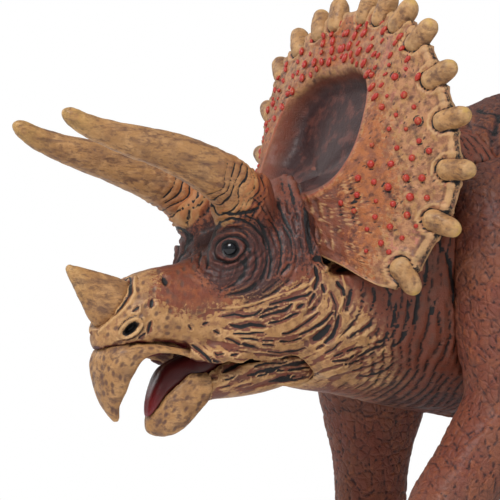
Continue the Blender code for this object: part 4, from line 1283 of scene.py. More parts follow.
    def collar(self, skin: Skin) -> tuple[np.ndarray, np.ndarray]:
        """Rings of wrinkled skin round the roots of the brow horns."""
        heights, ink_and_shade = np.zeros(len(skin.points)), np.zeros(len(skin.points))
        warm, gold = np.zeros(len(skin.points)), np.zeros(len(skin.points))
        pixels, _ = skin.near()
        lidless = eased(np.hypot(*(pixels - EYE_PX).T), 26, 38)
        for side in (-1, 1):
            way = np.array(HORN_WAY) * [1, side, 1]
            offset = skin.points - np.array(HORN_FOOT) * [1, side, 1]
            along = offset @ way
            away = np.linalg.norm(offset - along[:, None] * way, axis=1)
            share = (1 - eased(away, 7.4 * MM, 10 * MM)) * eased(along, -5 * MM, -2 * MM)
            wave = along / self.collar_step + 0.9 * cloud(skin.points, 3.5 * MM, 41)
            height, mark = folds(wave, share * lidless)
            broken = eased(cloud(skin.points, 2.4 * MM, 44), -1.1, -0.3)
            heights += 0.46 * MM * height * (0.4 + 0.6 * broken)
            ink_and_shade = np.maximum(ink_and_shade, 0.9 * mark * broken)
            warm = np.maximum(warm, 0.65 * share)
            edge = along + 2.2 * MM * clouds(skin.points, 4 * MM, 45)
            gold = np.maximum(gold, 0.85 * share * eased(edge, -1.5 * MM, 2 * MM))
        skin.fields["warm"] = warm
        skin.fields["gold"] = gold
        return heights, ink_and_shade

    def neck(self, skin: Skin, share: np.ndarray) -> tuple[np.ndarray, np.ndarray]:
        """Folds round the neck, which sweep forward under the throat."""
        forward = np.clip((0.066 - skin.points[:, 2]) / MM, 0, None)
        sweep = skin.points[:, 0] / self.fold_step - 0.0030 * forward**2
        sweep += 1.3 * clouds(skin.points, 14 * MM, 51) + 0.35 * clouds(skin.points, 4 * MM, 52)
        broken = eased(clouds(skin.points * [1, 1, 0.5], 5 * MM, 53), -0.55, 0.15)
        height, mark = folds(sweep, share * (0.35 + 0.65 * broken))
        rough = 0.16 * MM * clouds(skin.points, 3.2 * MM, 54) * share
        return 0.66 * MM * height + rough, 0.66 * mark

    def nostril(self, pixels: np.ndarray, facing: np.ndarray) -> tuple[np.ndarray, np.ndarray]:
        """A slanted slot with a raised rim and a crease round it; the slot is painted dark, partly as
        painted shade, and the crease has painted shade on all but its left end.
        """
        turn = math.radians(self.nostril_tilt_deg)
        offset = pixels - np.array(self.nostril_px)
        long = offset[:, 0] * math.cos(turn) - offset[:, 1] * math.sin(turn)
        wide = offset[:, 0] * math.sin(turn) + offset[:, 1] * math.cos(turn)
        away = np.hypot(long / self.nostril_half_px[0], wide / self.nostril_half_px[1])
        outer = np.hypot(long / 14.5, wide / 10.0)
        slot = -1.7 * MM * (1 - eased(away, 0.5, 1.1))
        rim = (0.55 * hill(away, 1.65, 0.36) - 0.35 * hill(outer, 1.0, 0.13)) * MM
        # painted shade in the crease, left out at its left-hand end
        crease = 0.45 * hill(outer, 1.02, 0.13) * (offset[:, 0] > -4)
        return (slot + rim) * facing, (np.clip(1.35 - 0.8 * away, 0, 1) + crease) * facing

    def zones(self, skin: Skin) -> None:
        """Says where each paint lies."""
        pixels, _ = skin.near()
        across, down = pixels.T
        line = np.interp(across, *np.array(self.tan_line).T)
        edge = 8 * clouds(skin.points, 5 * MM, 61)
        tan = 0.5 + (down - line + edge) / 44
        front = 0.5 + (150 - across + 1.5 * edge) / 60
        tan = np.clip(np.maximum(tan, np.where(down > 262, front, 0)), 0, 1)
        tan *= 1 - eased(across - 0.25 * (down - 340) + 1.5 * edge, 348, 418)
        tan *= 1 - 0.8 * eased(down, 374, 394) * eased(across, 225, 330)
        dark = np.zeros(len(pixels))
        for x, y, wide, tall, strength in self.dark_spots:
            away = np.hypot((across - x) / wide, (down - y) / tall)
            dark = np.maximum(dark, strength * np.clip(1.25 - 0.75 * away, 0, 1))
        # the downward-facing skin of the throat and neck gets the dark paint as painted shade
        under = eased(-skin.normals[:, 2], 0.6, 0.95) * eased(across, 330, 400)
        skin.fields["tan"] = tan
        skin.fields["dark"] = np.maximum(dark, 0.7 * under)
        orange = 0.55 * np.clip(1.2 - np.abs(down - 285) / 60, 0, 1) * (across < 240)
        brow = (1 - eased(across, 205, 235)) * (1 - eased(down, 225, 265))
        skin.fields["orange"] = np.maximum(orange, 0.7 * brow)
        inward = -skin.normals[:, 1] * np.sign(skin.points[:, 1])
        mouth = (skin.points[:, 0] < -0.080) & (skin.points[:, 2] < 0.0575)
        mouth &= np.abs(skin.points[:, 1]) < 9.6 * MM
        skin.fields["mouth"] = mouth * np.maximum(
            eased(inward, -0.15, 0.25), eased(-skin.normals[:, 2] - 0.5 * np.abs(inward), 0.3, 0.6))


@dataclass
class Mouth:
    """The swinging jaw, both beaks, the tongue and the mouth's roof."""

    voxel: float = 0.40 * MM
    fine: float = 0.30 * MM
    head_foot: tuple[float, float, float] = (-0.027, 0.0, 0.036)
    head_length: float = 0.090
    head_height: float = 0.060
    lip_arch: float = 5.6 * MM
    jaw_angle: tuple = ((-0.0735, 0.0076, 0.0515), (7.0 * MM, 1.6 * MM, 5.0 * MM))
    rim_foot: tuple[float, float, float] = (-0.1036, 0.0, 0.0400)
    rim_out: tuple[float, float, float] = (-0.85, 0.0, 0.527)
    # top or front place, bottom or rear place (each along, up), and half width in millimetres
    beak_shares: tuple = (
        (0.752, 0.292, 0.752, 0.246, 5.2), (0.762, 0.300, 0.762, 0.228, 7.3),
        (0.794, 0.304, 0.790, 0.243, 7.9), (0.844, 0.310, 0.842, 0.257, 8.6),
        (0.895, 0.318, 0.874, 0.252, 8.4), (0.940, 0.320, 0.900, 0.231, 7.7),
        (0.976, 0.306, 0.913, 0.200, 6.8), (0.992, 0.262, 0.919, 0.172, 5.9),
        (0.990, 0.205, 0.924, 0.146, 4.9), (0.986, 0.163, 0.931, 0.121, 3.9),
        (0.978, 0.124, 0.936, 0.097, 2.9), (0.965, 0.088, 0.934, 0.073, 1.9),
        (0.949, 0.056, 0.931, 0.051, 1.0), (0.939, 0.044, 0.933, 0.043, 0.35),
    )

    def build(self, finishes: Finishes) -> None:
        """Makes the mouth's pieces."""
        self.jaw(finishes)
        upper = Skin.over(joined([self.upper_beak()]), self.fine, 5)
        self.beak(upper, "upper_beak", Body.FIGURE, finishes)
        lower = Skin.over(joined([solid_copy("lower_beak")]), self.fine, 5, 0.12 * MM)
        self.beak(lower, "lower_beak", Body.JAW, finishes)
        self.tongue(finishes)
        roof = Skin.over(joined([solid_copy("palate")]), self.voxel, 3)
        ribs = folds(roof.points[:, 0] / (1.8 * MM), np.ones(len(roof.points)))
        roof.push(0.12 * MM * ribs[0])
        roof.fields["tip"] = np.full(len(roof.points), 0.25)
        roof.finished("palate_skin", Body.FIGURE, Slot.MOUTH, finishes.tongue, ["palate"])

    def upper_beak(self) -> bmesh.types.BMesh:
        """The hooked beak with its arched lip, as rings from the lip's end to the hook."""
        turns = np.linspace(0, 2 * math.pi, 40, endpoint=False)
        swing = np.sign(np.cos(turns)) * np.abs(np.cos(turns)) ** 0.85
        side = np.sign(np.sin(turns)) * np.abs(np.sin(turns)) ** 0.85
        rings = []
        for front_along, front_up, rear_along, rear_up, half_width in smoothed(self.beak_shares, 6):
            ends = np.array([[front_along, front_up], [rear_along, rear_up]])
            shares = ends.mean(axis=0) + swing[:, None] * (ends[0] - ends[1]) / 2
            arch = self.lip_arch * eased(np.array([1 - front_along]), 0.02, 0.12)[0]
            arch = arch * (0.5 - 0.5 * swing)
            rings.append(np.stack([
                self.head_foot[0] - shares[:, 0] * self.head_length,
                side * half_width * MM,
                self.head_foot[2] + shares[:, 1] * self.head_height
                + arch * (1 - np.abs(side) ** 2.4),
            ], axis=1))
        poles = [np.repeat(ring.mean(axis=0)[None], len(turns), axis=0) for ring in rings[::len(rings) - 1]]
        return globe(np.array([poles[0], *rings, poles[1]]).transpose(1, 0, 2))

    def jaw(self, finishes: Finishes) -> None:
        """The lower jaw's skin, with long creases."""
        parts = [solid_copy("lower_jaw")]
        for side in (-1, 1):
            place, size = self.jaw_angle
            parts.append(lump(Vector(place) * Vector((1, side, 1)), size))
        skin = Skin.over(joined(parts), self.voxel, 6, 0.1 * MM)
        heights, ink_and_shade, clear = pressed_strokes(skin, JAW_CREASES)
        raised, gold, _ = pressed_strokes(skin, RAISED, 0.4, -0.16)
        pixels, facing = skin.near()
        flow = Flow(JAW_CREASES)
        coarse, fine = streaks(pixels, flow, 4.6, 34, 91), streaks(pixels, flow, 2.7, 16, 95)
        deep = eased(coarse, 0.1, 1.4) * eased(clear, 0.0, 2.0) * facing
        thin = eased(fine, 0.2, 1.3) * facing
        heights -= (0.30 * deep + 0.13 * thin) * MM
        skin.push(heights + raised + 0.06 * MM * clouds(skin.points, 2 * MM, 83))
        skin.fields["ink_and_shade"] = np.maximum(ink_and_shade, 0.75 * deep * eased(coarse, 1.0, 2.0))
        skin.shade_and_highlight_fields()
        # less tan on the underside, as painted shade, and in and beside the creases, partly as painted
        # shade
        under = eased(-skin.normals[:, 2], 0.3, 0.9)
        halo = hill(np.maximum(clear, 0), 0, 2.2) * facing
        skin.fields["ridge"] = 1 - np.clip(
            0.8 * deep + 0.45 * thin + 0.5 * halo + 0.4 * under, 0, 1)
        skin.fields["gold"] = gold
        skin.fields["tan"] = np.ones(len(skin.points))
        fields_of(skin, "dark", "orange", "fleck", "warm", "mouth")
        skin.finished("jaw_skin", Body.JAW, Slot.JAW, finishes.face, ["lower_jaw"])

    def beak(self, skin: Skin, node: str, body: Body, finishes: Finishes) -> None:
        """A beak with soft flecks down its sides."""
        if node == "lower_beak":
            front = (skin.points - np.array(self.rim_foot)) @ np.array(self.rim_out)
            skin.points -= np.clip(front, 0, None)[:, None] * np.array(self.rim_out) * 0.9
            skin.refresh()
        pixels, facing = skin.near()
        hollow, name = hollows_along(pixels, Flow(BEAK_FLOW), 8.6, 1.9, 31)
        hollow = hollow * facing * eased(name, 0.1, 0.6)
        long = clouds(skin.points * [1.6, 1.6, 0.5], 1.6 * MM, 91)
        dents = clouds(skin.points, 3.5 * MM, 92)
        skin.push(0.07 * MM * long + 0.12 * MM * dents - 0.13 * MM * hollow)
        skin.fields["fleck"] = 0.85 * hollow
        skin.shade_and_highlight_fields(2, 0.09 * MM)
        if node == "upper_beak":
            down = -skin.normals[:, 2] - 0.4 * np.abs(skin.normals[:, 1])
            inside = (np.abs(skin.points[:, 1]) < 6.6 * MM) & (skin.points[:, 2] > 0.0485)
            skin.fields["mouth"] = eased(down, 0.25, 0.5) * inside
        fields_of(skin, "tip", "root", "ink_and_shade", "mouth")
        skin.finished(node + "_skin", body, Slot.HORN, finishes.horn, [node])

    def tongue(self, finishes: Finishes) -> None:
        """The thick glossy tongue."""
        skin = Skin.over(joined([solid_copy("tongue")]), self.fine, 4)
        front = eased(-skin.points[:, 0], 0.085, 0.092)
        skin.points[:, 2] += 1.9 * MM * front * eased(skin.normals[:, 2], -0.2, 0.6)
        skin.points[:, 2] -= 2.6 * MM * eased(-skin.points[:, 0], 0.1000, 0.1050)
        skin.points[:, 2] -= 0.9 * MM * (1 - front)
        skin.refresh()
        groove = hill(skin.points[:, 1], 0, 0.9 * MM)
        skin.push(-0.2 * MM * groove + 0.05 * MM * clouds(skin.points, 2 * MM, 71))
        skin.fields["tip"] = 0.6 * (1 - eased(skin.points[:, 0], -0.1046, -0.1015))
        skin.finished("tongue_skin", Body.JAW, Slot.MOUTH, finishes.tongue, ["tongue"])


@dataclass
class Horns:
    """Both brow horns and the nose horn."""

    voxel: float = 0.34 * MM
    tip_reach: float = 10 * MM
    wrinkle_step: float = 1.7 * MM
    root_front: float = -0.100

    def build(self, finishes: Finishes) -> None:
        """Makes the three horns."""
        for name in ("brow_horn_left", "brow_horn_right"):
            skin = Skin.over(joined([solid_copy(name)]), self.voxel, 6, 0.40 * MM)
            dents = self.sculpt(skin, HORN_FLOW, 5.2)
            side = np.array([1, 1 if name.endswith("right") else -1, 1])
            along = (skin.points - np.array(HORN_FOOT) * side) @ (np.array(HORN_WAY) * side)
            wave = along / self.wrinkle_step + 0.9 * cloud(skin.points, 3.5 * MM, 41)
            share = 1 - eased(along + 2.5 * MM * dents, 7 * MM, 11 * MM)
            height, mark = folds(wave, share)
            broken = eased(cloud(skin.points, 2.4 * MM, 44), -0.9, -0.1)
            skin.push(0.34 * MM * height * (0.3 + 0.7 * broken))
            skin.fields["ink_and_shade"] = np.maximum(skin.fields["ink_and_shade"], 0.9 * mark * broken)
            front = skin.points[:, 0].min()
            skin.fields["tip"] = 0.3 * (1 - eased(skin.points[:, 0], front, front + self.tip_reach))
            # orange at the root, three times as strong on the right horn, the far one, as on the left
            root = eased(skin.points[:, 0] + 3 * MM * dents, self.root_front,
                         self.root_front + 0.010)
            skin.fields["root"] = (0.75 if name.endswith("right") else 0.25) * root
            fields_of(skin, "mouth")
            skin.finished(name + "_skin", Body.FIGURE, Slot.HORN, finishes.horn, [name])
        nose = Skin.over(joined([solid_copy("nose_horn")]), self.voxel, 5, 0.30 * MM)
        self.sculpt(nose, NOSE_FLOW, 5.5)
        nose.fields["tip"] = 0.15 * (1 - eased(nose.points[:, 0], -0.124, -0.117))
        fields_of(nose, "root", "mouth")
        nose.finished("nose_horn_skin", Body.FIGURE, Slot.HORN, finishes.horn, ["nose_horn"])

    def sculpt(self, skin: Skin, flow: Sequence[Stroke], size: float) -> np.ndarray:
        """Dents, grain along the horn and flecks of dirt; returns the dents."""
        pixels, _ = skin.near()
        turned = skin.points @ np.array([[0.9, 0, 0.43], [0, 1, 0], [-0.43, 0, 0.9]]).T
        long = clouds(turned * [0.35, 1.3, 1.3], 1.7 * MM, 101)
        dents = clouds(skin.points, 3.8 * MM, 102)
        hollow, name = hollows_along(pixels, Flow(flow), size, 2.0, 111)
        hollow = hollow * eased(name, 0.5, 0.8)
        skin.push(0.10 * MM * long + 0.15 * MM * dents - 0.06 * MM * hollow)
        scratch = eased(clouds(turned * [0.3, 1.6, 1.6], 1.5 * MM, 103), 0.45, 0.75)
        skin.fields["ink_and_shade"] = 0.42 * scratch
        skin.fields["fleck"] = 0.52 * hollow
        skin.shade_and_highlight_fields(2, 0.09 * MM)
        return dents


@dataclass
class Eyes:
    """The two glossy eyes, which look out between their lids."""

    segments: int = 40
    radius: float = 2.1 * MM
    seat: tuple[float, float, float] = (-0.08939, 0.00943, 0.07503)

    def build(self, finishes: Finishes) -> None:
        """Makes each eye a ball behind its lids."""
        for name, side in (("eye_left", -1), ("eye_right", 1)):
            bm = bmesh.new()
            bmesh.ops.create_uvsphere(
                bm, u_segments=self.segments, v_segments=self.segments // 2, radius=self.radius)
            place = Vector(self.seat) * Vector((1, side, 1))
            bmesh.ops.translate(bm, vec=place, verts=bm.verts[:])
            dressed(joined([bm]), name + "_ball", Body.FIGURE, finishes.eye, [name])


# Frill

FRILL_SHARES = (
    # angle, then rim, shoulder, crest and foot of the bowl's wall (radius and x, as shares)
    (0, 1.030, 0.010, 0.87, -0.045, 0.690, -0.10, 0.52, -0.03),
    (20, 1.040, -0.005, 0.89, -0.065, 0.715, -0.12, 0.55, -0.03),
    (40, 1.065, -0.040, 0.90, -0.110, 0.685, -0.17, 0.53, -0.06),
    (60, 1.025, -0.030, 0.83, -0.150, 0.580, -0.25, 0.42, -0.12),
    (80, 1.015, -0.015, 0.79, -0.185, 0.510, -0.33, 0.35, -0.21),
    (100, 1.030, -0.025, 0.78, -0.250, 0.430, -0.41, 0.28, -0.30),
    (118, 1.030, -0.130, 0.75, -0.340, 0.340, -0.47, 0.21, -0.37),
    (134, 1.045, -0.270, 0.72, -0.440, 0.265, -0.51, 0.17, -0.42),
    (141, 0.720, -0.480, 0.52, -0.520, 0.250, -0.53, 0.16, -0.45),
    (158, 0.420, -0.570, 0.32, -0.570, 0.215, -0.57, 0.14, -0.50),
    (180, 0.340, -0.620, 0.27, -0.610, 0.190, -0.60, 0.12, -0.53),
)
BUMPS_PX = (
    (389, 65), (406, 69), (395, 77), (372, 75), (387, 96), (404, 95), (414, 107), (396, 115),
    (418, 121), (389, 129), (406, 129), (419, 141), (397, 148), (429, 151), (412, 158), (391, 164),
    (422, 178), (406, 178), (388, 187), (410, 197), (371, 164), (372, 145), (382, 107), (357, 195),
    (393, 204), (407, 215), (390, 227), (402, 238), (381, 243), (366, 251), (375, 217), (367, 229),
    (341, 203), (354, 211), (376, 201), (389, 252), (374, 182), (358, 178), (427, 198), (416, 226),
)


@dataclass
class Frill:
    """The bowl-shaped plate, its red bumps and its ring of knobs."""

    centre: tuple[float, float, float] = (-0.05202, 0.0, 0.09348)
    radius: float = 0.035
    bowl_x_share: float = -0.235
    thickness: tuple = (4.0 * MM, 4.5 * MM, 8.0 * MM, 5.0 * MM, 3.6 * MM)
    angle_steps: int = 19
    radial_steps: int = 18
    rim_steps: int = 6
    knob_angles: tuple = (8.8, 19.0, 31.0, 44.0, 60.0, 76.0, 93.0, 110.5, 128.5)
    knob_spreads: tuple = (1, 1, 1, 1, 1, 0.95, 0.9, 0.75, 0.25)
    knob_length: float = 8.8 * MM
    knob_width: float = 4.9 * MM
    bump_radius: float = 0.74 * MM

    def build(self, finishes: Finishes) -> None:
        """Makes the plate, the knobs and the bumps."""
        skin, station = self.plate()
        feet = self.knob_feet()
        self.sculpt(skin, station, feet)
        spots = self.bump_spots(skin)
        self.seats(skin, spots)
        skin.finished("frill_skin", Body.FIGURE, Slot.FRILL, finishes.frill, ["frill"])
        self.knobs(feet, finishes)
        self.bumps(spots, finishes)

    def plate(self) -> tuple[Skin, np.ndarray]:
        """The plate, and each point's station.

        Returns:
            The skin, and a number that is 0 at the bowl's middle, 1 at its wall's foot, 2 on the
            crest, 3 on the shoulder, 4 at the rim and more round the back.
        """
        half = np.array(FRILL_SHARES, float)
        other = half[:0:-1].copy()
        other[:, 0] *= -1
        thick = smoothed(np.array(self.thickness)[:, None], self.radial_steps)[:, 0]
        rows = []
        for row in smoothed(np.vstack([other, half]), self.angle_steps)[:-1]:
            turn = math.radians(row[0])
            spots = np.array([
                (0.0, self.bowl_x_share), (row[7], row[8]), (row[5], row[6]), (row[3], row[4]),
                (row[1], row[2]),
            ])
            front = smoothed(spots * self.radius, self.radial_steps)
            back = front + np.stack([np.zeros(len(thick)), thick], axis=1)
            middle, spoke = (front[-1] + back[-1]) / 2, (front[-1] - back[-1]) / 2
            edge = [
                middle + spoke * math.cos(bend) + np.array([thick[-1] / 2 * math.sin(bend), 0])
                for bend in np.linspace(0, math.pi, self.rim_steps + 2)[1:-1]
            ]
            way = np.concatenate([front, edge, back[::-1]])
            rows.append(np.stack([
                way[:, 1], way[:, 0] * math.sin(turn), way[:, 0] * math.cos(turn)
            ], axis=1) + np.array(self.centre))
        skin = Skin(joined([globe(np.array(rows))]))
        column = np.empty(len(skin.points), np.float32)
        layer = skin.mesh.attributes["column"]
        layer.data.foreach_get("value", column)
        skin.mesh.attributes.remove(layer)
        return skin, column / self.radial_steps

    def at(self, angle: float, column: int) -> float:
        """A share of the table at an angle."""
        table = np.array(FRILL_SHARES, float)
        return float(np.interp(angle, table[:, 0], table[:, column]))

    def knob_feet(self) -> list[tuple[np.ndarray, np.ndarray]]:
        """Each knob's middle and the way it points."""
        feet = []
        for angle, spread in zip(self.knob_angles, self.knob_spreads):
            turn = math.radians(angle)
            ring = np.array([0, math.sin(turn), math.cos(turn)])
            rim = self.at(angle, 1) * ring + [self.at(angle, 2), 0, 0]
            shoulder = self.at(angle, 3) * ring + [self.at(angle, 4), 0, 0]
            way = (rim - shoulder) / np.linalg.norm(rim - shoulder) + 0.6 * ring
            way[1] *= spread
            way /= np.linalg.norm(way)
            foot = np.array(self.centre) + self.radius * rim
            foot = foot + [self.thickness[-1] / 4, 0, 0] + way * self.knob_length * 0.2
            for side in (-1, 1):
                feet.append((foot * [1, side, 1], way * [1, side, 1]))
        return feet

    def sculpt(self, skin: Skin, station: np.ndarray, feet: list) -> None:
        """Roughens the margin, seats the knobs and says where each paint lies."""
        front = station < 4.05
        offset = skin.points - np.array(self.centre)
        angle = np.degrees(np.arctan2(np.abs(offset[:, 1]), offset[:, 2]))
        # dark paint in the creases and streaks of the margin, partly painted shade
        heights, ink_and_shade, clear = pressed_strokes(skin, HOOD_CREASES)
        ink_and_shade = 0.5 * ink_and_shade
        pixels, _ = skin.near()
        across, down = pixels.T
        margin = eased(station, 1.95, 2.25) * front
        dish = (1 - eased(station, 1.75, 2.05)) * front
        rough = 0.22 * clouds(skin.points, 1.5 * MM, 121) + 0.34 * clouds(skin.points, 4.5 * MM, 122)
        heights += rough * MM * margin
        coarse = streaks(pixels, Flow(HOOD_CREASES), 4.6, 24, 126)
        deep = eased(coarse, 0.2, 1.4) * margin * eased(down, 150, 185)
        deep *= 1 - eased(across, 345, 385)
        heights -= 0.30 * MM * deep
        ink_and_shade = np.maximum(ink_and_shade, 0.7 * deep * eased(coarse, 0.7, 1.6))
        heights += 0.12 * MM * clouds(skin.points * [1, 0.5, 2.2], 3.0 * MM, 125) * dish
        pits, name = hollows_along(pixels, Flow(HOOD_CREASES), 5.2, 1.25, 131)
        pits = pits * eased(name, 0.5, 0.75) * margin * eased(clear, 0.5, 2.5)
        heights -= 0.16 * MM * pits
        heights += 0.35 * MM * hill(station, 2.0, 0.10) * eased(angle, 25, 45)
        for foot, way in feet:
            reach = skin.points - foot
            along = reach @ way
            away = np.linalg.norm(reach - along[:, None] * way, axis=1)
            size = np.hypot(away, np.clip(-along - self.knob_length * 0.24, 0, None))
            heights -= 0.35 * MM * hill(size, 2.45 * MM, 0.42 * MM)
            heights += 0.42 * MM * hill(size, 3.3 * MM, 0.55 * MM)
            # dark ring in the groove round each knob's foot, partly painted shade
            ink_and_shade = np.maximum(ink_and_shade, 0.85 - np.abs(size - 2.5 * MM) / (0.7 * MM))
        seam = np.abs(station - (4 + 0.5 * (self.rim_steps + 1) / self.radial_steps))
        heights -= 0.22 * MM * hill(seam, 0, 0.05)
        skin.push(heights)
        skin.shade_and_highlight_fields(2, 0.10 * MM)
        ragged = 7 * clouds(skin.points, 4 * MM, 141)
        orange_edge = np.interp(down, (60, 80, 115, 145, 165, 190, 225, 260),
                                (366, 374, 380, 386, 394, 398, 388, 366))
        low_edge = np.interp(down, (150, 175, 190, 220, 245, 262), (280, 312, 338, 352, 352, 346))
        skin.fields["ink_and_shade"] = np.maximum(ink_and_shade, 0.62 * (1 - seam / 0.12))
        wall = np.clip((2.05 - station) / 0.12, 0, 0.3) + 0.7 * (1 - eased(station, 0.9, 2.0))
        high = 1 - eased(angle, 20, 50)
        skin.fields["dish"] = wall * front * (1 - high * eased(station, 1.35, 2.0))
        line = 0.6 * hill(station, 2.02, 0.035)
        skin.fields["line"] = line * eased(angle, 30, 50) * front
        skin.fields["orange"] = margin * np.clip(0.5 + (orange_edge - across + ragged) / 60, 0, 1)
        low = eased(down, 150, 172) * np.clip(0.5 + (low_edge - across + ragged) / 50, 0, 1)
        skin.fields["low"] = np.where(front, margin * low, station > 4.6)
        streak = eased(cloud(skin.points * [0.6, 2.0, 0.5], 3 * MM, 124), 0.1, 0.7)
        skin.fields["blush"] = 0.55 * streak * margin * eased(station, 2.3, 2.7)
        skin.fields["fleck"] = 0.8 * pits

    def knobs(self, feet: list, finishes: Finishes) -> None:
        """The ring of blunt bony knobs, as one piece."""
        parts = []
        for foot, way in feet:
            part = lump((0, 0, 0), (1, 1, 1), 4)
            for vert in part.verts:
                rise = min(abs(vert.co.z), 0.999)
                girth = math.sqrt((1 - rise**4) / (1 - rise**2)) * (1 - 0.12 * vert.co.z)
                vert.co.x *= self.knob_width / 2 * girth
                vert.co.y *= self.knob_width / 2 * girth * 0.9
                vert.co.z *= self.knob_length / 2
            lean = Vector((0, 0, 1)).rotation_difference(Vector(way)).to_matrix().to_4x4()
            bmesh.ops.transform(part, matrix=Matrix.Translation(foot) @ lean, verts=part.verts[:])
            parts.append(part)
        skin = Skin(joined(parts))
        tip = np.zeros(len(skin.points))
        for foot, way in feet:
            offset = skin.points - foot
            along = offset @ way
            close = np.linalg.norm(offset, axis=1) < self.knob_length * 0.62
            tip = np.where(close, eased(along, 0.30 * self.knob_length, 0.5 * self.knob_length), tip)
        dents = clouds(skin.points, 2.4 * MM, 131)
        skin.push(0.17 * MM * dents + 0.07 * MM * clouds(skin.points, 0.9 * MM, 132))
        skin.shade_and_highlight_fields(3, 0.10 * MM)
        skin.fields["tip"] = 0.8 * tip * eased(clouds(skin.points, 1.6 * MM, 133), -0.3, 0.3)
        skin.fields["ink_and_shade"] = 0.55 * eased(clouds(skin.points, 1.2 * MM, 134), 0.5, 0.8)
        skin.fields["fleck"] = 0.5 * eased(clouds(skin.points, 2.0 * MM, 135), 0.1, 0.6)
        fields_of(skin, "root", "mouth")
        skin.finished("frill_knobs", Body.FIGURE, Slot.FRILL, finishes.horn)

    def seats(self, skin: Skin, spots: list) -> None:
        """Presses a broken ring round each bump and paints it dark as painted shade at the bump's foot."""
        ring = np.zeros(len(skin.points))
        for place, _, _, size in spots:
            for side in (-1, 1):
                away = np.linalg.norm(skin.points - np.array(place) * [1, side, 1], axis=1)
                ring = np.maximum(ring, hill(away, 1.35 * size, 0.45 * size))
        broken = eased(cloud(skin.points, 1.7 * MM, 151), -0.7, 0.5)
        skin.push(-0.12 * MM * ring)
        # painted shade round the bump's foot
        skin.fields["ink_and_shade"] = np.maximum(skin.fields["ink_and_shade"], 0.62 * ring * broken)

    def bump_spots(self, skin: Skin) -> list[tuple[Vector, Vector, float, float]]:
        """Where the photograph shows bumps, and rows of long ones round the top.

        Args:
            skin: the plate's skin.

        Returns:
            Each bump's place, the skin's normal there, its stretch and its size.
        """
        tree = BVHTree.FromPolygons(
            skin.points.tolist(), [list(face.vertices) for face in skin.mesh.polygons])
        spots = []
        for pixel in BUMPS_PX:
            hit, normal, _, _ = tree.ray_cast(Vector(CAMERA.place), CAMERA.ray(pixel))
            if hit:
                spots.append((hit, normal, 1.0))
        for ring, share in enumerate((0.12, 0.30, 0.48, 0.66, 0.84)):
            for step in range(11):
                jitter = np.array([[ring * 3.1, step * 1.7, 5.0]])
                angle = 5.6 * step + 2.8 * (ring % 2) + 3.2 * float(cloud(jitter, 1.0, 7)[0])
                lift = share + 0.13 * float(cloud(jitter, 1.0, 8)[0])
                rim, crest = self.at(abs(angle), 1), self.at(abs(angle), 5)
                reach = (crest + (rim - crest) * lift) * self.radius
                turn = math.radians(abs(angle))
                start = Vector((-0.12, -reach * math.sin(turn),
                                self.centre[2] + reach * math.cos(turn)))
                hit, normal, _, _ = tree.ray_cast(start, Vector((1, 0, 0)))
                if hit and all((hit - spot).length > 1.7 * MM for spot, _, _ in spots):
                    spots.append((hit, normal, 1.7))
        sizes = hashed(np.array([[index, 3, 1] for index in range(len(spots))]), 9)
        return [
            (hit, normal, long, self.bump_radius * (0.6 + 0.65 * float(share)) / long**0.35)
            for (hit, normal, long), share in zip(spots, sizes)
        ]

    def bumps(self, spots: list, finishes: Finishes) -> None:
        """The red bumps on both sides, as one piece."""
        parts = []
        for hit, normal, long, size in spots:
            out = Vector((0, hit.y, hit.z - self.centre[2]))
            along = (out - normal * out.dot(normal)).normalized()
            lie = Matrix((along, normal.cross(along), normal)).transposed().to_4x4()
            for side in (1, -1):
                part = lump((0, 0, 0), (size * long, size, size * 0.8), 2)
                flip = Matrix.Scale(-1, 4, (0, 1, 0)) if side < 0 else Matrix()
                where = flip @ Matrix.Translation(hit + normal * size * 0.1) @ lie
                bmesh.ops.transform(part, matrix=where, verts=part.verts[:])
                bmesh.ops.recalc_face_normals(part, faces=part.faces[:])
                parts.append(part)
        dressed(joined(parts), "frill_bumps", Body.FIGURE, finishes.bump)


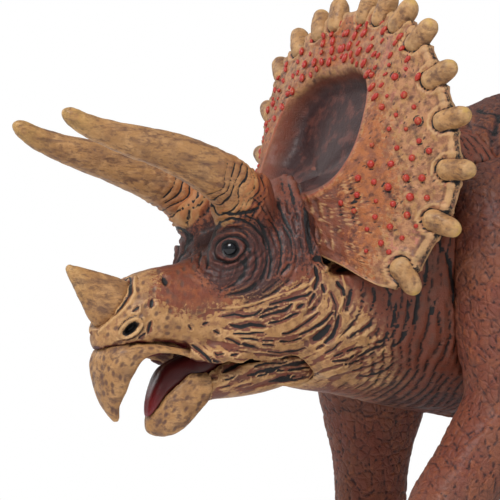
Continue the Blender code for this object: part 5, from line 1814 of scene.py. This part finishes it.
@dataclass
class Trunk:
    """Torso, tail and legs."""

    voxel: float = 0.78 * MM
    leg_voxel: float = 0.64 * MM
    legs: tuple = ("foreleg_left", "foreleg_right", "hindleg_left", "hindleg_right")

    def build(self, finishes: Finishes) -> None:
        """Makes the torso, the tail, the legs and their nails."""
        for node in ("torso", "tail", *self.legs):
            voxel = self.voxel if node == "torso" else self.leg_voxel
            grow = 0.45 * MM if "leg" in node else 0.2 * MM
            skin = Skin.over(joined([solid_copy(node)]), voxel, 10, grow)
            self.sculpt(skin, node)
            skin.finished(node + "_skin", Body.FIGURE, Slot.BODY, finishes.hide, [node])
        self.nails(finishes)

    def sculpt(self, skin: Skin, node: str) -> None:
        """Folds round the trunk and limbs, and scales over them."""
        back, _, up = skin.points.T
        soft = clouds(skin.points, 12 * MM, 141)
        if "leg" in node:
            pull = np.array([1.1, 1.1, 0.9])
            phase = (back + 0.35 * up) / (4.4 * MM) + 1.5 * soft
            strength = 0.15 + 0.5 * eased(clouds(skin.points, 8 * MM, 142), -0.2, 0.6)
        else:
            pull = np.array([1.5, 1.0, 0.8])
            phase = back / (3.9 * MM) + 1.6 * soft
            strength = 0.35 + 0.65 * eased(clouds(skin.points, 9 * MM, 143), -0.4, 0.4)
        height, mark = folds(phase, strength)
        plates, name = scales(skin.points * pull + 0.9 * MM * soft[:, None], 3.1 * MM, 3)
        small, _ = scales(skin.points * pull, 1.6 * MM, 9)
        heights = 0.42 * MM * height + 0.22 * MM * eased(plates, 0.0, 0.3) + 0.08 * MM * small
        heights += 0.12 * MM * (name - 0.5) + 0.35 * MM * clouds(skin.points, 7 * MM, 144)
        if node == "torso":
            pixels, facing = skin.near()
            coarse = streaks(pixels, Flow(THROAT_CREASES), 7.0, 44, 161)
            wrinkled = facing * (1 - eased(back, -0.030, 0.012))
            deep = eased(coarse, 0.0, 1.3) * wrinkled
            heights -= 0.75 * MM * deep
            mark = np.maximum(mark, 1.1 * deep * eased(coarse, 0.6, 1.5))
        ground = eased(up, 0.2 * MM, 2.5 * MM)
        heights = np.where(up < 2.5 * MM, np.minimum(heights, 0.1 * MM) * ground, heights)
        skin.push(heights)
        skin.points[:, 2] = np.maximum(skin.points[:, 2], 0.0)
        skin.refresh()
        skin.shade_and_highlight_fields(3, 0.13 * MM)
        deep = eased(clouds(skin.points, 6 * MM, 145), -0.5, 0.3)
        cracks = 0.60 * np.clip(1 - plates / 0.13, 0, 1) * deep
        # dark paint in the folds and deep creases, partly painted shade, and in the cracks between scales
        skin.fields["ink_and_shade"] = np.maximum(0.72 * mark, cracks)
        skin.fields["tone"] = name
        # painted shade on the downward-facing skin above the feet, and darker paint along the top of the
        # back
        under = eased(-skin.normals[:, 2], 0.1, 0.8) * eased(up, 0.004, 0.012)
        ridge = 0.7 * eased(up + 8 * MM * soft, 0.070, 0.105)
        skin.fields["under"] = np.maximum(under, ridge)

    def nails(self, finishes: Finishes) -> None:
        """Blunt nails on the front of each foot."""
        parts = []
        for node in self.legs:
            points = np.array([vert.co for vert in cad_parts[node].data.vertices])
            foot = points[points[:, 2] < 0.004]
            middle = (foot.min(axis=0) + foot.max(axis=0)) / 2
            reach = (foot[:, 1].max() - foot[:, 1].min()) / 2
            for degrees in (-42, 0, 42):
                turn = math.radians(degrees)
                out = Vector((-math.cos(turn), math.sin(turn), 0))
                part = lump((0, 0, 0), (2.6 * MM, 2.9 * MM, 3.6 * MM), 4)
                spin = Matrix.Rotation(math.atan2(out.y, out.x), 4, "Z")
                spot = Vector((middle[0], middle[1], 2.2 * MM)) + out * reach * 0.98
                bmesh.ops.transform(part, matrix=Matrix.Translation(spot) @ spin, verts=part.verts[:])
                parts.append(part)
        skin = Skin(joined(parts))
        skin.push(0.12 * MM * clouds(skin.points, 1.8 * MM, 151))
        skin.points[:, 2] = np.maximum(skin.points[:, 2], 0.0)
        skin.refresh()
        skin.shade_and_highlight_fields(3, 0.12 * MM)
        fields_of(skin, "tip", "ink_and_shade", "root", "fleck", "mouth")
        skin.finished("nails", Body.FIGURE, Slot.HORN, finishes.horn)


# Studio

WHITE: Colour = (1.0, 1.0, 1.0)


def linked(name: str, data: bpy.types.ID) -> bpy.types.Object:
    """A new object in the scene."""
    made = bpy.data.objects.new(name, data)
    bpy.context.scene.collection.objects.link(made)
    return made


@dataclass
class Studio:
    """A pale floor, soft lamps and the camera."""

    floor_side: float = 16.0
    floor_drop: float = 0.2 * MM
    floor_grey: float = 0.92
    floor_roughness: float = 0.8
    shadow_reach: tuple[float, float] = (0.16, 0.42)
    world_strength: float = 0.27
    aim: tuple[float, float, float] = (-0.05, 0.0, 0.07)
    lamps: tuple = (
        # place, side and power of each soft lamp
        ((-0.85, -0.70, 1.15), 0.6, 17.0),
        ((0.9, -0.9, 0.75), 0.9, 3.0),
        ((-0.5, 0.9, 0.8), 0.9, 4.0),
    )

    def build(self) -> None:
        """Makes floor, world, lamps and camera."""
        self.floor()
        self.world()
        for index, (place, side, power) in enumerate(self.lamps):
            data = bpy.data.lights.new(f"lamp_{index}", "AREA")
            data.size = side
            data.energy = power
            lamp = linked(data.name, data)
            lamp.location = place
            aim = Vector(self.aim) - Vector(place)
            lamp.rotation_euler = aim.to_track_quat("-Z", "Y").to_euler()
        CAMERA.build()
        bpy.context.scene.view_settings.view_transform = "Standard"

    def floor(self) -> None:
        """A wide pale floor that keeps the shadow and turns pure white further off."""
        bm = bmesh.new()
        bmesh.ops.create_grid(bm, x_segments=1, y_segments=1, size=self.floor_side / 2)
        mesh = joined([bm])
        made = bpy.data.materials.new("floor_white")
        made.use_nodes = True
        nodes = made.node_tree.nodes
        paint = Paint(made.node_tree)
        shader = nodes["Principled BSDF"]
        pale = (self.floor_grey, self.floor_grey, self.floor_grey)
        paint.feed(shader, {"Base Color": pale, "Roughness": self.floor_roughness})
        glow = paint.node("ShaderNodeEmission", {"Color": WHITE})
        away = paint.node("ShaderNodeVectorMath", {0: paint.place()}, operation="LENGTH")
        far = paint.step(away.outputs["Value"], *self.shadow_reach)
        share = paint.math("MULTIPLY", far, paint.rays("Camera", "Glossy"))
        paint.feed(nodes["Material Output"], {"Surface": paint.blend(share, shader, glow)})
        mesh.materials.append(made)
        floor = linked("floor", mesh)
        floor.location.z = -self.floor_drop

    def world(self) -> None:
        """A world that is white to the camera and softer to the object."""
        world = bpy.data.worlds.new("studio")
        bpy.context.scene.world = world
        world.use_nodes = True
        nodes = world.node_tree.nodes
        paint = Paint(world.node_tree)
        back = nodes["Background"]
        paint.feed(back, {"Color": WHITE, "Strength": self.world_strength})
        white = paint.node("ShaderNodeBackground", {"Color": WHITE, "Strength": 1.0})
        share = paint.rays("Camera", "Transmission")
        paint.feed(nodes["World Output"], {"Surface": paint.blend(share, back, white)})


def dress_inner_nodes(finishes: Finishes) -> None:
    """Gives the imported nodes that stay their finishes."""
    for name, finish in (
        ("jaw_pin", finishes.steel), ("neck_plug", finishes.plug), ("tail_plug", finishes.plug),
    ):
        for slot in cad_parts[name].material_slots:
            slot.material = finish
        LOG.info("%s keeps its solid", name)


def main() -> None:
    """Builds the figure piece by piece, then the studio."""
    logging.basicConfig(level=logging.INFO, format="%(message)s")
    finishes = Finishes()
    for part in (Head, Mouth, Horns, Eyes, Frill, Trunk):
        part().build(finishes)
    dress_inner_nodes(finishes)
    Studio().build()


if __name__ == "__main__":
    main()
